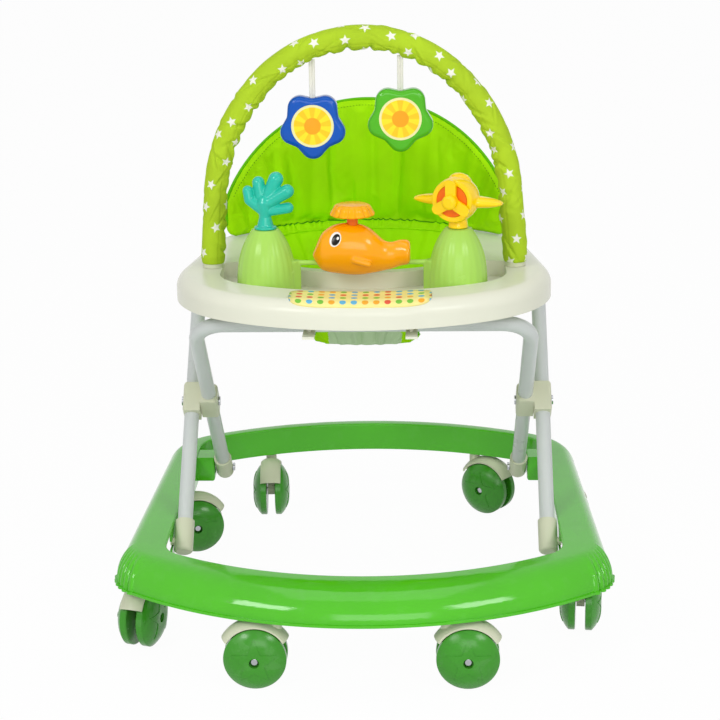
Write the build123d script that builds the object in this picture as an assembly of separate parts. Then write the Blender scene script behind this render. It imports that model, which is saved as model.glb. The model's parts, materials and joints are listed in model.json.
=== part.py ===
from build123d import *
import os
from math import asin, cos, degrees, radians, sin, sqrt

# A folding baby walker. Millimetres, +Z up, +X to the right, +Y to the rear.
# The origin is on the floor, under the middle of the ring base.

# Fits
RUNNING = 0.05
GAP = 0.3

# Ring base: plan of the rim, and how far the rounded top draws in on each side
BASE_HALF_WIDTH = 300
BASE_REAR_HALF_WIDTH = 288
BASE_HALF_LENGTH = 330
BASE_FRONT_BOW = 440
BASE_REAR_BOW = 450
BASE_FRONT_CORNER = 66
BASE_FRONT_CORNER_TOP = 40
BASE_REAR_CORNER = 92
BASE_REAR_CORNER_TOP = 78
BASE_FRONT_DRAW = 48
BASE_SIDE_DRAW = 22
BASE_REAR_DRAW = 15
BASE_PROFILE_STEPS = 3
BASE_WALL = 2.8
BASE_CORNER_EXTRA = 16
RIM_Z = 86
BASE_HEIGHT = 39
FLANGE_WIDTH = 2.6
FLANGE_HEIGHT = 3.2
FLUTE_COUNT = 6
FLUTE_DEPTH = 4.5
OPENING_FRONT_Y = -269
OPENING_REAR_Y = 302
OPENING_HALF_WIDTH = 242
OPENING_FRONT_CORNER = 42
OPENING_REAR_CORNER = 60
OPENING_FRONT_BOW = 400
OPENING_REAR_BOW = 440
OPENING_EDGE_ROUND = 2.4

# Scissor frame: two bent tubes that cross at the middle of their legs
LEG_ANGLE = 45
LEG_LENGTH = 400
TUBE_RADIUS = 9.5
TUBE_WALL = 1.4
TUBE_BEND = 38
TUBE_PAST_PIVOT = 8
REAR_FOOT_Y = 177
FOOT_Z = 103
REAR_LEG_X = 206
FRONT_LEG_X = 229
CAP_RADIUS = 12
CAP_BELOW = 15
CAP_ABOVE = 28
CAP_ROUND = 4
FOOT_PIN_RADIUS = 3
FOOT_PIN_HEAD = 5.5
FOOT_PIN_HEAD_THICK = 2.5
STUD_RADIUS = 5
STUD_REACH = 4.5
SLEEVE_LENGTH = 42
SLEEVE_DEPTH = 27
SLEEVE_ROUND = 4.5
RIVET_RADIUS = 3
RIVET_HEAD = 6
RIVET_HEAD_THICK = 2
FOLDED_ANGLE = 15

# Rear pivot blocks on the base, and the way for the sliding front feet
BLOCK_HALF_LENGTH = 17
BLOCK_BOTTOM_Z = 88
BLOCK_ROUND = 3
SLOT_CLEARANCE = 0.5
FOOT_WAY_MARGIN = 3

# Casters
WHEEL_RADIUS = 37
WHEEL_GAP = 12.5
WHEEL_TREAD = 9
WHEEL_HALF_WIDTH = 25
WHEEL_SHOULDER = 1
WHEEL_DOME_FULLNESS = 0.82
HUB_RECESS_RADIUS = 6
HUB_RECESS_DEPTH = 6
HUB_FACE_RADIUS = 9
WHEEL_STAR_TIP = 28
WHEEL_STAR_NOTCH = 12.5
WHEEL_STAR_RISE = 0.8
TRAIL = 24
AXLE_RADIUS = 3
AXLE_HEAD_RADIUS = 4.8
AXLE_HEAD_THICK = 3
HOOD_HALF_WIDTH = 14.5
HOOD_WALL = 2
HOOD_CLEARANCE = 1.5
HOOD_CROWN = 5.5
HOOD_START = 31
HOOD_SWEEP = 118
WEB_SHARES = (0.3, 0.65, 1)
WEB_HALF_THICK = 5
WEB_BOSS_RADIUS = 8
NECK_RADIUS = 7.5
STEM_RADIUS = 4
STEM_LENGTH = 24
BOSS_RADIUS = 9
BOSS_BOTTOM_Z = 84
BOSS_DEPTH = 26
# name: stem X, stem Y, way the wheels trail in plan
CASTERS = {
    "front_left": (-100, -296, 180),
    "front_right": (100, -296, 0),
    "corner_left": (-266, -161, -106),
    "corner_right": (266, -161, 84),
    "mid_left": (-266, 124, 12),
    "mid_right": (266, 124, 66),
    "rear_left": (-149, 290, -88),
    "rear_right": (149, 290, -36),
}

# Tray
TRAY_LIP_Z = 408
TRAY_TOP_Z = 440
TRAY_FRONT_Y = -219
TRAY_REAR_Y = 250
TRAY_HALF_WIDTH = 232
TRAY_REAR_HALF_WIDTH = 212
TRAY_FRONT_CORNER = 158
TRAY_REAR_CORNER = 130
TRAY_BOW = 300
TRAY_EDGE_ROUND = 17
TRAY_WALL = 3
RECESS_FRONT_Y = -158
RECESS_REAR_Y = 2
RECESS_HALF_WIDTH = 176
RECESS_CORNER = 66
RECESS_REAR_CORNER = 10
RECESS_BOW = 280
RECESS_REAR_BOW = 2800
RECESS_DEPTH = 20
SEAT_RIM_FRONT_Y = -52
SEAT_RIM_REAR_Y = 211
SEAT_RIM_HALF_WIDTH = 125
SEAT_RIM_FRONT_CORNER = 96
SEAT_RIM_REAR_CORNER = 61
SEAT_RIM_FRONT_BOW = 171
SEAT_RIM_REAR_BOW = 218
SEAT_RIM_DEPTH = 26
SEAT_RIM_LAND = 14
LABEL_PANEL_WIDTH = 168
LABEL_PANEL_LENGTH = 30
LABEL_PANEL_Y = -180
LABEL_PANEL_DEPTH = 0.6
GUIDE_X = 60
GUIDE_WEB = 4
GUIDE_FLANGE = 14
GUIDE_FLANGE_THICK = 3
GUIDE_FRONT_Y = -212
GUIDE_WEB_FRONT_Y = -190
GUIDE_REAR_Y = -92
CLIP_X = 142
CLIP_WIDTH = 20
CLIP_RADIUS = 15

# Seat
SLING_WALL = 2.5
SLING_FOLDS = 4
SLING_TOP_DROP = 3
# height, front Y, rear Y, half width, front and rear corners, depth of the folds
SLING_RINGS = (
    (402, -46, 150, 112, 84, 60, 3),
    (366, -34, 106, 92, 60, 50, 5),
    (336, -20, 82, 64, 28, 32, 2),
)
LEG_HOLE_RADIUS = 35
LEG_HOLE_X = 88
LEG_HOLE_Y = 0
LEG_HOLE_Z = 376
LEG_HOLE_TURN = 52
BACK_RADIUS = 234
BACK_CENTRE_Y = -7
BACK_HALF_TURN = 53
BACK_HEIGHT = 172
BACK_SPAN = 195
BACK_EDGE_HALF = 5
BACK_EDGE_ROUND = 4
BACK_FRONT_CROWN = 6
BACK_REAR_CROWN = 3
BACK_SECTIONS = 11
BOARD_THICK = 2.4
BOARD_HALF_WIDTH = 143
BOARD_HEIGHT = 138
BOARD_TAB_TURN = 24
BOARD_TAB_WIDTH = 30
BOARD_TAB_DEPTH = 14
BOARD_TAB_RISE = 2
BOARD_POCKET = 0.25

# Toy bridge
TOY_Y = -94
DOME_X = 116
DOME_RADIUS = 32.5
DOME_MID_RADIUS = 29
DOME_TOP_RADIUS = 16
DOME_HEIGHT = 82
DOME_WAIST_SHARE = 0.6
DOME_WALL = 2.5
POST_INNER_X = 76
POST_WIDTH = 13
POST_DEPTH = 16
BAR_Z = 460
BAR_RADIUS = 3
PIVOT_PIN_RADIUS = 4
PIVOT_PIN_LENGTH = 12

# Coral toy: each finger has a root and a tip (X, Y, Z from the dome top) and two radii
CORAL_COLLAR_RADIUS = 13.5
CORAL_COLLAR_THICK = 3
CORAL_TRUNK_RADIUS = 9.5
CORAL_TRUNK_LENGTH = 32
CORAL_FINGERS = (
    ((-5, 1, 25), (-18.5, 3, 36), 6, 5.5),
    ((-18.5, 3, 36), (-20, 4, 46), 5.5, 5.2),
    ((-3, 3, 32), (-7, 6, 55), 6.5, 7),
    ((2, 1, 32), (14.5, 2, 60), 6.5, 8),
    ((0, -2, 29), (27, -4, 46), 6, 8),
    ((0, -1, 20), (27, -2, 26), 5.5, 6),
)

# Whale toy: X, middle Z, half height and half depth of each section, from head to tail
WHALE_SECTIONS = (
    (-54, 468, 7, 6),
    (-48, 470, 18, 13),
    (-30, 475.5, 27.5, 19),
    (-10, 478, 30.5, 21),
    (11, 474.5, 27, 19),
    (29, 469.5, 18.5, 13),
    (44, 472, 14, 12),
    (56, 475, 11, 17),
)
SPOUT_X = -11
SPOUT_BOTTOM_Z = 515
SPOUT_RADIUS = 27
SPOUT_TOP_RADIUS = 19
SPOUT_HEIGHT = 20
SPOUT_TOP_ROUND = 9
SPOUT_BOTTOM_ROUND = 2.5
SPOUT_SCALLOPS = 14
SPOUT_SCALLOP_RADIUS = 3.2
SPOUT_STEM_RADIUS = 4
SPOUT_STEM_LENGTH = 30
SPOUT_TRAVEL = 4

# Plane toy, built with its nose along -Y and then turned
PLANE_TURN = -22
PLANE_NECK_RADIUS = 12
PLANE_NECK_TOP_RADIUS = 9.6
PLANE_BODY_Z = 36
PLANE_COWL_RADIUS = 22
PLANE_BODY_RADIUS = 25
PLANE_NOSE_Y = -22
PLANE_FULLEST_Y = -6
PLANE_TAIL_Y = 34
PLANE_TAIL_RADIUS = 9
PLANE_WING_SPAN = 106
PLANE_WING_CHORD = 26
PLANE_WING_THICK = 11
PLANE_WING_ROUND = 4.5
PLANE_FIN_HEIGHT = 30
PLANE_FIN_CHORD = 20
PLANE_FIN_THICK = 7
PLANE_FIN_ROUND = 2.5
NOSE_RADIUS = 19
NOSE_DEPTH = 5
PROP_HUB_RADIUS = 9
PROP_HUB_LENGTH = 12
PROP_BLADE_LENGTH = 26
PROP_BLADE_WIDTH = 13
PROP_BLADE_THICK = 4
PROP_BLADES = 3
PROP_SHAFT_RADIUS = 2.5
PROP_SHAFT_LENGTH = 14

# Toy arch
ARCH_HALF_WIDTH = 188
ARCH_Y = -28
ARCH_SPRING_Z = 535
ARCH_ROD_RADIUS = 6
SLEEVE_PAD_RADIUS = 15
PLUG_COLLAR_RADIUS = 13
PLUG_COLLAR_THICK = 5
PLUG_RADIUS = 8
PLUG_LENGTH = 24
PLUG_SOCKET_DEPTH = 16
SOCKET_WALL = 3

# Hanging stars: X of the strap, Z of the star's middle
BLUE_STAR = (-60, 617)
GREEN_STAR = (47, 625)
STAR_TIP_RADIUS = 49
STAR_NOTCH_RADIUS = 33
STAR_TIP_ROUND = 15
STAR_NOTCH_ROUND = 12
STAR_HALF_THICK = 11
STAR_EDGE_ROUND = 6
STAR_WALL = 2
STAR_DISC_RADIUS = 26
STAR_DISC_THICK = 1.2
STRAP_WIDTH = 8
STRAP_THICK = 1.4
STRAP_INTO_STAR = 9
STRAP_LOOP_RADIUS = ARCH_ROD_RADIUS + RUNNING

# Places that follow from the sizes above
BASE_TOP_Z = RIM_Z + BASE_HEIGHT
FRONT_FOOT_Y = REAR_FOOT_Y - LEG_LENGTH * cos(radians(LEG_ANGLE))
BAR_HEIGHT_Z = FOOT_Z + LEG_LENGTH * sin(radians(LEG_ANGLE))
CROSSING_Y = (REAR_FOOT_Y + FRONT_FOOT_Y) / 2
CROSSING_Z = (FOOT_Z + BAR_HEIGHT_Z) / 2
FOLDED_FOOT_Y = REAR_FOOT_Y - LEG_LENGTH * cos(radians(FOLDED_ANGLE))
CROSSING_X = (REAR_LEG_X + FRONT_LEG_X) / 2
RECESS_FLOOR_Z = TRAY_TOP_Z - RECESS_DEPTH
DOME_TOP_Z = RECESS_FLOOR_Z + DOME_HEIGHT
NECK_TOP_Z = BOSS_BOTTOM_Z - GAP
WHEEL_INNER = WHEEL_GAP / 2
HUB_FACE = WHEEL_HALF_WIDTH - HUB_RECESS_DEPTH


def both_sides(part):
    """The part and its mirror image across the middle of the walker."""
    return [part, mirror(part, about=Plane.YZ)]


def along_x(radius, start, end, y, z):
    """A round bar along X from start to end."""
    bar = Cylinder(radius, end - start, rotation=(0, 90, 0))
    return Pos((start + end) / 2, y, z) * bar


def upright(radius, x, y, bottom, top):
    """A round post along Z."""
    return Pos(x, y, (bottom + top) / 2) * Cylinder(radius, top - bottom)


def block(x_range, y_range, z_range):
    """A box between two corners."""
    sizes = [high - low for low, high in (x_range, y_range, z_range)]
    middle = [(low + high) / 2 for low, high in (x_range, y_range, z_range)]
    return Pos(*middle) * Box(*sizes)


def flip(point):
    """The same plan point on the other side."""
    return Vector(-point.X, point.Y)


def corner_arcs(centre, radius, start, end, flutes, depth):
    """A plan corner from one direction to another, plain or as a row of outward flutes."""
    turn = start.get_signed_angle(end, Vector(0, 0, 1))
    count = max(flutes, 1)
    step = turn / count
    groove = radius - depth / 2
    crest = radius + depth / 2
    points = []
    for index in range(2 * count + 1):
        level = crest if index % 2 else groove
        if index == 0 or index == 2 * count:
            level = radius
        points.append(centre + start.rotate(Axis.Z, step * index / 2) * level)
    return points


def bowed_plan(front_y, rear_y, front_x, rear_x, corners, bows, flutes=0, rear_flutes=0, depth=0):
    """A plan face with a bowed front and rear, straight sides and four tangent corners."""
    front_corner, rear_corner = corners
    front_bow, rear_bow = bows
    front_bow_centre = Vector(0, front_y + front_bow)
    rear_bow_centre = Vector(0, rear_y - rear_bow)
    front_cx = front_x - front_corner
    rear_cx = rear_x - rear_corner
    front_reach = sqrt((front_bow - front_corner) ** 2 - front_cx**2)
    rear_reach = sqrt((rear_bow - rear_corner) ** 2 - rear_cx**2)
    front_centre = Vector(front_cx, front_bow_centre.Y - front_reach)
    rear_centre = Vector(rear_cx, rear_bow_centre.Y + rear_reach)
    along = rear_centre - front_centre
    lean = asin((front_corner - rear_corner) / along.length)
    along = along.normalized()
    out = Vector(along.Y, -along.X) * cos(lean) + along * sin(lean)
    to_front = (front_centre - front_bow_centre).normalized()
    to_rear = (rear_centre - rear_bow_centre).normalized()
    front_points = corner_arcs(front_centre, front_corner, to_front, out, flutes, depth)
    rear_points = corner_arcs(rear_centre, rear_corner, out, to_rear, rear_flutes, depth)
    edges = [ThreePointArc(flip(front_points[0]), (0, front_y), front_points[0])]
    right = []
    for points in (front_points, rear_points):
        right.append([points[index : index + 3] for index in range(0, len(points) - 2, 2)])
    for run in right[0]:
        edges.append(ThreePointArc(*run))
    edges.append(Line(front_points[-1], rear_points[0]))
    for run in right[1]:
        edges.append(ThreePointArc(*run))
    edges.append(ThreePointArc(rear_points[-1], (0, rear_y), flip(rear_points[-1])))
    for run in reversed(right[1]):
        edges.append(ThreePointArc(*[flip(point) for point in reversed(run)]))
    edges.append(Line(flip(rear_points[0]), flip(front_points[-1])))
    for run in reversed(right[0]):
        edges.append(ThreePointArc(*[flip(point) for point in reversed(run)]))
    return make_face(edges)


def base_section(turn, wall, extra_corner, flutes):
    """Plan of the base at one height of its rounded profile, drawn in by the wall."""
    draw = 1 - cos(radians(turn))
    rise = (BASE_HEIGHT - wall) * sin(radians(turn))
    front_corner = BASE_FRONT_CORNER + (BASE_FRONT_CORNER_TOP - BASE_FRONT_CORNER) * draw
    rear_corner = BASE_REAR_CORNER + (BASE_REAR_CORNER_TOP - BASE_REAR_CORNER) * draw
    side = BASE_SIDE_DRAW * draw + wall
    face = bowed_plan(
        BASE_FRONT_DRAW * draw + wall - BASE_HALF_LENGTH,
        BASE_HALF_LENGTH - BASE_REAR_DRAW * draw - wall,
        BASE_HALF_WIDTH - side,
        BASE_REAR_HALF_WIDTH - side,
        (front_corner - wall + extra_corner, rear_corner - wall),
        (BASE_FRONT_BOW, BASE_REAR_BOW),
        flutes=flutes,
        depth=FLUTE_DEPTH * (1 - draw),
    )
    return Pos(0, 0, RIM_Z + rise) * face


def base_form(wall=0, extra_corner=0, flutes=0):
    """The base as one rounded mass, lofted from its rim to its top."""
    turns = [90 * step / BASE_PROFILE_STEPS for step in range(BASE_PROFILE_STEPS + 1)]
    return loft([base_section(turn, wall, extra_corner, flutes) for turn in turns])


def opening_plan(grow):
    """Plan of the ring's opening, grown outwards."""
    return bowed_plan(
        OPENING_FRONT_Y - grow,
        OPENING_REAR_Y + grow,
        OPENING_HALF_WIDTH + grow,
        OPENING_HALF_WIDTH + grow,
        (OPENING_FRONT_CORNER + grow, OPENING_REAR_CORNER + grow),
        (OPENING_FRONT_BOW + grow, OPENING_REAR_BOW + grow),
    )


def make_base_ring():
    """The moulded ring: hollow from below, fluted front corners, caster sockets, pivot blocks."""
    flange_plan = bowed_plan(
        -BASE_HALF_LENGTH - FLANGE_WIDTH,
        BASE_HALF_LENGTH + FLANGE_WIDTH,
        BASE_HALF_WIDTH + FLANGE_WIDTH,
        BASE_REAR_HALF_WIDTH + FLANGE_WIDTH,
        (BASE_FRONT_CORNER + FLANGE_WIDTH, BASE_REAR_CORNER + FLANGE_WIDTH),
        (BASE_FRONT_BOW + FLANGE_WIDTH, BASE_REAR_BOW + FLANGE_WIDTH),
        flutes=FLUTE_COUNT,
        depth=FLUTE_DEPTH,
    )
    ring = base_form(flutes=FLUTE_COUNT) + extrude(Pos(0, 0, RIM_Z) * flange_plan, FLANGE_HEIGHT)
    ring -= extrude(Pos(0, 0, RIM_Z) * opening_plan(0), BASE_HEIGHT)
    inner_edges = ring.edges().filter_by_position(Axis.Z, BASE_TOP_Z - 0.1, BASE_TOP_Z + 0.1)
    inner_edges = [edge for edge in inner_edges if edge.center().Y > OPENING_FRONT_Y - 1]
    inner_edges = [edge for edge in inner_edges if abs(edge.center().X) < OPENING_HALF_WIDTH + 1]
    inner_edges = [edge for edge in inner_edges if edge.center().Y < OPENING_REAR_Y + 1]
    ring = fillet(inner_edges, OPENING_EDGE_ROUND)
    filled = base_form(BASE_WALL / 2, BASE_CORNER_EXTRA)
    hollow = base_form(BASE_WALL, BASE_CORNER_EXTRA)
    hollow -= extrude(Pos(0, 0, RIM_Z) * opening_plan(BASE_WALL), BASE_HEIGHT)
    ring -= hollow
    for stem_x, stem_y, _ in CASTERS.values():
        ring += upright(BOSS_RADIUS, stem_x, stem_y, BOSS_BOTTOM_Z, RIM_Z)
        ring += upright(BOSS_RADIUS, stem_x, stem_y, RIM_Z, BASE_TOP_Z) & filled
    block_face_x = REAR_LEG_X + CAP_RADIUS + GAP
    pivot_block = block(
        (block_face_x, OPENING_HALF_WIDTH + BASE_WALL),
        (REAR_FOOT_Y - BLOCK_HALF_LENGTH, REAR_FOOT_Y + BLOCK_HALF_LENGTH),
        (BLOCK_BOTTOM_Z, BASE_TOP_Z - BASE_WALL),
    )
    pivot_block = fillet(pivot_block.faces().sort_by(Axis.X)[0].edges(), BLOCK_ROUND)
    for part in both_sides(pivot_block):
        ring += part
    for stem_x, stem_y, _ in CASTERS.values():
        bore_top = BOSS_BOTTOM_Z + BOSS_DEPTH
        ring -= upright(STEM_RADIUS + RUNNING, stem_x, stem_y, BOSS_BOTTOM_Z, bore_top)
    ring -= along_x(FOOT_PIN_RADIUS, block_face_x, OPENING_HALF_WIDTH, REAR_FOOT_Y, FOOT_Z)
    ring -= along_x(FOOT_PIN_RADIUS, -OPENING_HALF_WIDTH, -block_face_x, REAR_FOOT_Y, FOOT_Z)
    for part in both_sides(make_foot_way()):
        ring -= part
    return ring


def make_foot_way():
    """The room that a sliding front foot needs: a slot for its stud, then a gap in the inner wall."""
    wall_x = (OPENING_HALF_WIDTH - 1, OPENING_HALF_WIDTH + BASE_WALL + GAP)
    slot_radius = STUD_RADIUS + SLOT_CLEARANCE
    gap_start = FRONT_FOOT_Y - CAP_RADIUS - FOOT_WAY_MARGIN
    slot = along_x(slot_radius, *wall_x, FRONT_FOOT_Y, FOOT_Z)
    slot += block(wall_x, (gap_start, FRONT_FOOT_Y), (FOOT_Z - slot_radius, FOOT_Z + slot_radius))
    inner_x = FRONT_LEG_X - CAP_RADIUS - FOOT_WAY_MARGIN
    front_y = FOLDED_FOOT_Y - CAP_RADIUS - FOOT_WAY_MARGIN
    skin_z = BASE_TOP_Z - BASE_WALL
    return slot + block((inner_x, wall_x[1]), (front_y, gap_start), (RIM_Z - 1, skin_z))


def leg_plane(side):
    """Plane of a bent tube: origin at its foot pivots, x across, y up the leg."""
    foot_y = REAR_FOOT_Y if side == "rear" else FRONT_FOOT_Y
    lean = -1 if side == "rear" else 1
    up_leg = Vector(0, lean * cos(radians(LEG_ANGLE)), sin(radians(LEG_ANGLE)))
    return Plane((0, foot_y, FOOT_Z), x_dir=(1, 0, 0), z_dir=Vector(1, 0, 0).cross(up_leg))


def make_leg_tube(side, half_width, pin_fit):
    """A tube bent into a U, with holes for its foot pins and its crossing rivets."""
    path = leg_plane(side) * FilletPolyline(
        (-half_width, -TUBE_PAST_PIVOT),
        (-half_width, LEG_LENGTH),
        (half_width, LEG_LENGTH),
        (half_width, -TUBE_PAST_PIVOT),
        radius=TUBE_BEND,
    )
    ring = Circle(TUBE_RADIUS) - Circle(TUBE_RADIUS - TUBE_WALL)
    tube = sweep(Plane(path @ 0, z_dir=path % 0) * ring, path=path)
    reach = half_width + 2 * TUBE_RADIUS
    tube -= along_x(RIVET_RADIUS + pin_fit, -reach, reach, CROSSING_Y, CROSSING_Z)
    if side == "rear":
        tube -= along_x(FOOT_PIN_RADIUS + RUNNING, -reach, reach, REAR_FOOT_Y, FOOT_Z)
    return tube


def make_foot_cap(side, leg_x):
    """A moulded cup over one tube end; the front one carries a stud that slides in the base."""
    length = CAP_BELOW + CAP_ABOVE
    cap = Pos(0, 0, (CAP_ABOVE - CAP_BELOW) / 2) * Cylinder(CAP_RADIUS, length)
    cap = fillet(cap.faces().sort_by(Axis.Z)[0].edges(), CAP_ROUND)
    depth = CAP_ABOVE + TUBE_PAST_PIVOT
    cap -= Pos(0, 0, CAP_ABOVE - depth / 2) * Cylinder(TUBE_RADIUS + RUNNING, depth)
    frame = leg_plane(side)
    along_leg = Plane(frame.origin + Vector(leg_x, 0, 0), x_dir=(1, 0, 0), z_dir=frame.y_dir)
    cap = along_leg * cap
    if side == "rear":
        reach = leg_x + 2 * CAP_RADIUS
        return cap - along_x(FOOT_PIN_RADIUS + RUNNING, 0, reach, REAR_FOOT_Y, FOOT_Z)
    stud_start = leg_x + TUBE_RADIUS + (CAP_RADIUS - TUBE_RADIUS) / 2
    stud_end = leg_x + CAP_RADIUS + STUD_REACH
    return cap + along_x(STUD_RADIUS, stud_start, stud_end, FRONT_FOOT_Y, FOOT_Z)


def make_sleeve(side, leg_x, facing, pin_fit):
    """A moulded block round one leg where the two tubes cross; facing is its flat side along X."""
    mating_x = CROSSING_X + facing * GAP / 2
    far_x = 2 * leg_x - mating_x
    low_x, high_x = sorted((mating_x, far_x))
    middle = LEG_LENGTH / 2
    half = SLEEVE_LENGTH / 2
    sleeve = block((low_x, high_x), (middle - half, middle + half), (-SLEEVE_DEPTH / 2, SLEEVE_DEPTH / 2))
    outer_face = sleeve.faces().sort_by(Axis.X)[0 if facing < 0 else -1]
    sleeve = fillet(outer_face.edges(), SLEEVE_ROUND)
    sleeve -= Pos(leg_x, middle, 0) * Cylinder(TUBE_RADIUS + RUNNING, 2 * SLEEVE_LENGTH, rotation=(90, 0, 0))
    sleeve = leg_plane(side) * sleeve
    return sleeve - along_x(RIVET_RADIUS + pin_fit, 0, 2 * leg_x, CROSSING_Y, CROSSING_Z)


def make_rivet():
    """A crossing rivet with two heads, through both sleeves and both tubes of one side."""
    inner_x = 2 * REAR_LEG_X - CROSSING_X
    outer_x = 2 * FRONT_LEG_X - CROSSING_X + GAP
    rivet = along_x(RIVET_RADIUS, inner_x, outer_x, CROSSING_Y, CROSSING_Z)
    rivet += along_x(RIVET_HEAD, inner_x - RIVET_HEAD_THICK, inner_x, CROSSING_Y, CROSSING_Z)
    return rivet + along_x(RIVET_HEAD, outer_x, outer_x + RIVET_HEAD_THICK, CROSSING_Y, CROSSING_Z)


def make_foot_pin():
    """A headed pin that carries one rear foot on its pivot block."""
    head_x = REAR_LEG_X - CAP_RADIUS - GAP
    pin = along_x(FOOT_PIN_RADIUS, head_x, OPENING_HALF_WIDTH - GAP, REAR_FOOT_Y, FOOT_Z)
    return pin + along_x(FOOT_PIN_HEAD, head_x - FOOT_PIN_HEAD_THICK, head_x, REAR_FOOT_Y, FOOT_Z)


def caster_place(name):
    """Where a caster stands: its own x axis is the way that its wheels trail."""
    stem_x, stem_y, trail_turn = CASTERS[name]
    return Pos(stem_x, stem_y, 0) * Rot(0, 0, trail_turn)


AXLE_PLANE = Plane((TRAIL, 0, WHEEL_RADIUS), x_dir=(1, 0, 0), z_dir=(0, -1, 0))
AXLE_AXIS = Axis((TRAIL, 0, WHEEL_RADIUS), (0, -1, 0))


def make_caster_hood():
    """A domed hood over the wheels, the web between them, and the neck with its swivel stem."""
    inner_edge = WHEEL_RADIUS + HOOD_CLEARANCE
    outer_edge = inner_edge + HOOD_WALL
    width = HOOD_HALF_WIDTH
    profile = make_face(
        [
            ThreePointArc((outer_edge, -width), (outer_edge + HOOD_CROWN, 0), (outer_edge, width)),
            Line((outer_edge, width), (inner_edge, width)),
            ThreePointArc((inner_edge, width), (inner_edge + HOOD_CROWN, 0), (inner_edge, -width)),
            Line((inner_edge, -width), (outer_edge, -width)),
        ]
    )
    start = radians(HOOD_START)
    radial = Vector(cos(start), 0, sin(start))
    profile_plane = Plane((TRAIL, 0, WHEEL_RADIUS), x_dir=radial, z_dir=radial.cross(Vector(0, 1, 0)))
    hood = revolve(profile_plane * profile, AXLE_AXIS, HOOD_SWEEP)
    web_reach = inner_edge + HOOD_CROWN + HOOD_WALL / 2
    web_angles = [radians(HOOD_START + HOOD_SWEEP * share) for share in WEB_SHARES]
    web_points = [(web_reach * cos(angle), web_reach * sin(angle)) for angle in web_angles]
    web_face = make_face(
        [
            Line((0, 0), web_points[0]),
            ThreePointArc(*web_points),
            Line(web_points[2], (0, 0)),
        ]
    )
    web_face += Circle(WEB_BOSS_RADIUS)
    hood += extrude(AXLE_PLANE * web_face, WEB_HALF_THICK, both=True)
    neck = upright(NECK_RADIUS, 0, 0, WHEEL_RADIUS, NECK_TOP_Z)
    neck -= AXLE_PLANE * Cylinder(inner_edge, 4 * NECK_RADIUS)
    hood += neck
    hood += upright(STEM_RADIUS, 0, 0, NECK_TOP_Z - NECK_RADIUS, NECK_TOP_Z + STEM_LENGTH)
    return hood - AXLE_PLANE * Cylinder(AXLE_RADIUS, 4 * WEB_HALF_THICK)


def wheel_form(rise):
    """One dished disc on the Y axis, with its domed face raised."""
    tread_end = WHEEL_INNER + WHEEL_TREAD
    shoulder = WHEEL_RADIUS - WHEEL_SHOULDER
    bore = AXLE_RADIUS + RUNNING
    face = WHEEL_HALF_WIDTH + rise
    edge = tread_end + rise
    dome_mid = ((shoulder + HUB_FACE_RADIUS) / 2, edge + WHEEL_DOME_FULLNESS * (face - edge))
    outline = Polyline(
        (HUB_FACE_RADIUS, face),
        (HUB_RECESS_RADIUS, face),
        (HUB_RECESS_RADIUS, HUB_FACE),
        (bore, HUB_FACE),
        (bore, WHEEL_INNER),
        (shoulder, WHEEL_INNER),
        (WHEEL_RADIUS, WHEEL_INNER + WHEEL_SHOULDER),
        (WHEEL_RADIUS, tread_end - WHEEL_SHOULDER),
        (shoulder, edge),
    )
    dome = ThreePointArc((shoulder, edge), dome_mid, (HUB_FACE_RADIUS, face))
    return revolve(make_face([outline, dome]), Axis.Y)


def make_wheel_disc():
    """One wheel disc: flat tread, recess for the axle head and a raised star on its domed face."""
    star_points = []
    for index in range(10):
        radius = WHEEL_STAR_NOTCH if index % 2 else WHEEL_STAR_TIP
        angle = radians(90 + 36 * index)
        star_points.append((radius * cos(angle), radius * sin(angle)))
    star = Plane.XZ * make_face(Polyline(*star_points, close=True))
    star = extrude(star, WHEEL_HALF_WIDTH + 2 * WHEEL_STAR_RISE, dir=(0, 1, 0))
    disc = wheel_form(0) + (wheel_form(WHEEL_STAR_RISE) & star)
    return Pos(TRAIL, 0, WHEEL_RADIUS) * disc


def make_wheels():
    """The two discs of one caster."""
    disc = make_wheel_disc()
    return [disc, mirror(disc, about=Plane.XZ)]


def make_axle():
    """A riveted axle: the shaft and a rounded head at each end."""
    shaft_end = HUB_FACE + GAP
    axle = AXLE_PLANE * Cylinder(AXLE_RADIUS, 2 * shaft_end)
    head = Pos(0, 0, shaft_end + AXLE_HEAD_THICK / 2) * Cylinder(AXLE_HEAD_RADIUS, AXLE_HEAD_THICK)
    head = fillet(head.faces().sort_by(Axis.Z)[-1].edges(), AXLE_HEAD_THICK / 2)
    head = AXLE_PLANE * head
    return axle + head + mirror(head, about=Plane.XZ)


def tray_plan(inset):
    """Plan of the tray, drawn in all round."""
    return bowed_plan(
        TRAY_FRONT_Y + inset,
        TRAY_REAR_Y - inset,
        TRAY_HALF_WIDTH - inset,
        TRAY_REAR_HALF_WIDTH - inset,
        (TRAY_FRONT_CORNER - inset, TRAY_REAR_CORNER - inset),
        (TRAY_BOW - inset, TRAY_BOW - inset),
    )


def seat_rim(grow):
    """Plan of the tray's seat opening, grown outwards."""
    return bowed_plan(
        SEAT_RIM_FRONT_Y - grow,
        SEAT_RIM_REAR_Y + grow,
        SEAT_RIM_HALF_WIDTH + grow,
        SEAT_RIM_HALF_WIDTH + grow,
        (SEAT_RIM_FRONT_CORNER + grow, SEAT_RIM_REAR_CORNER + grow),
        (SEAT_RIM_FRONT_BOW + grow, SEAT_RIM_REAR_BOW + grow),
    )


def recess_plan(grow):
    """Plan of the toy recess: a crescent in front of the seat."""
    crescent = bowed_plan(
        RECESS_FRONT_Y - grow,
        RECESS_REAR_Y + grow,
        RECESS_HALF_WIDTH + grow,
        RECESS_HALF_WIDTH + grow,
        (RECESS_CORNER + grow, RECESS_REAR_CORNER + grow),
        (RECESS_BOW + grow, RECESS_REAR_BOW),
    )
    return crescent - seat_rim(SEAT_RIM_LAND - grow)


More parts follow.
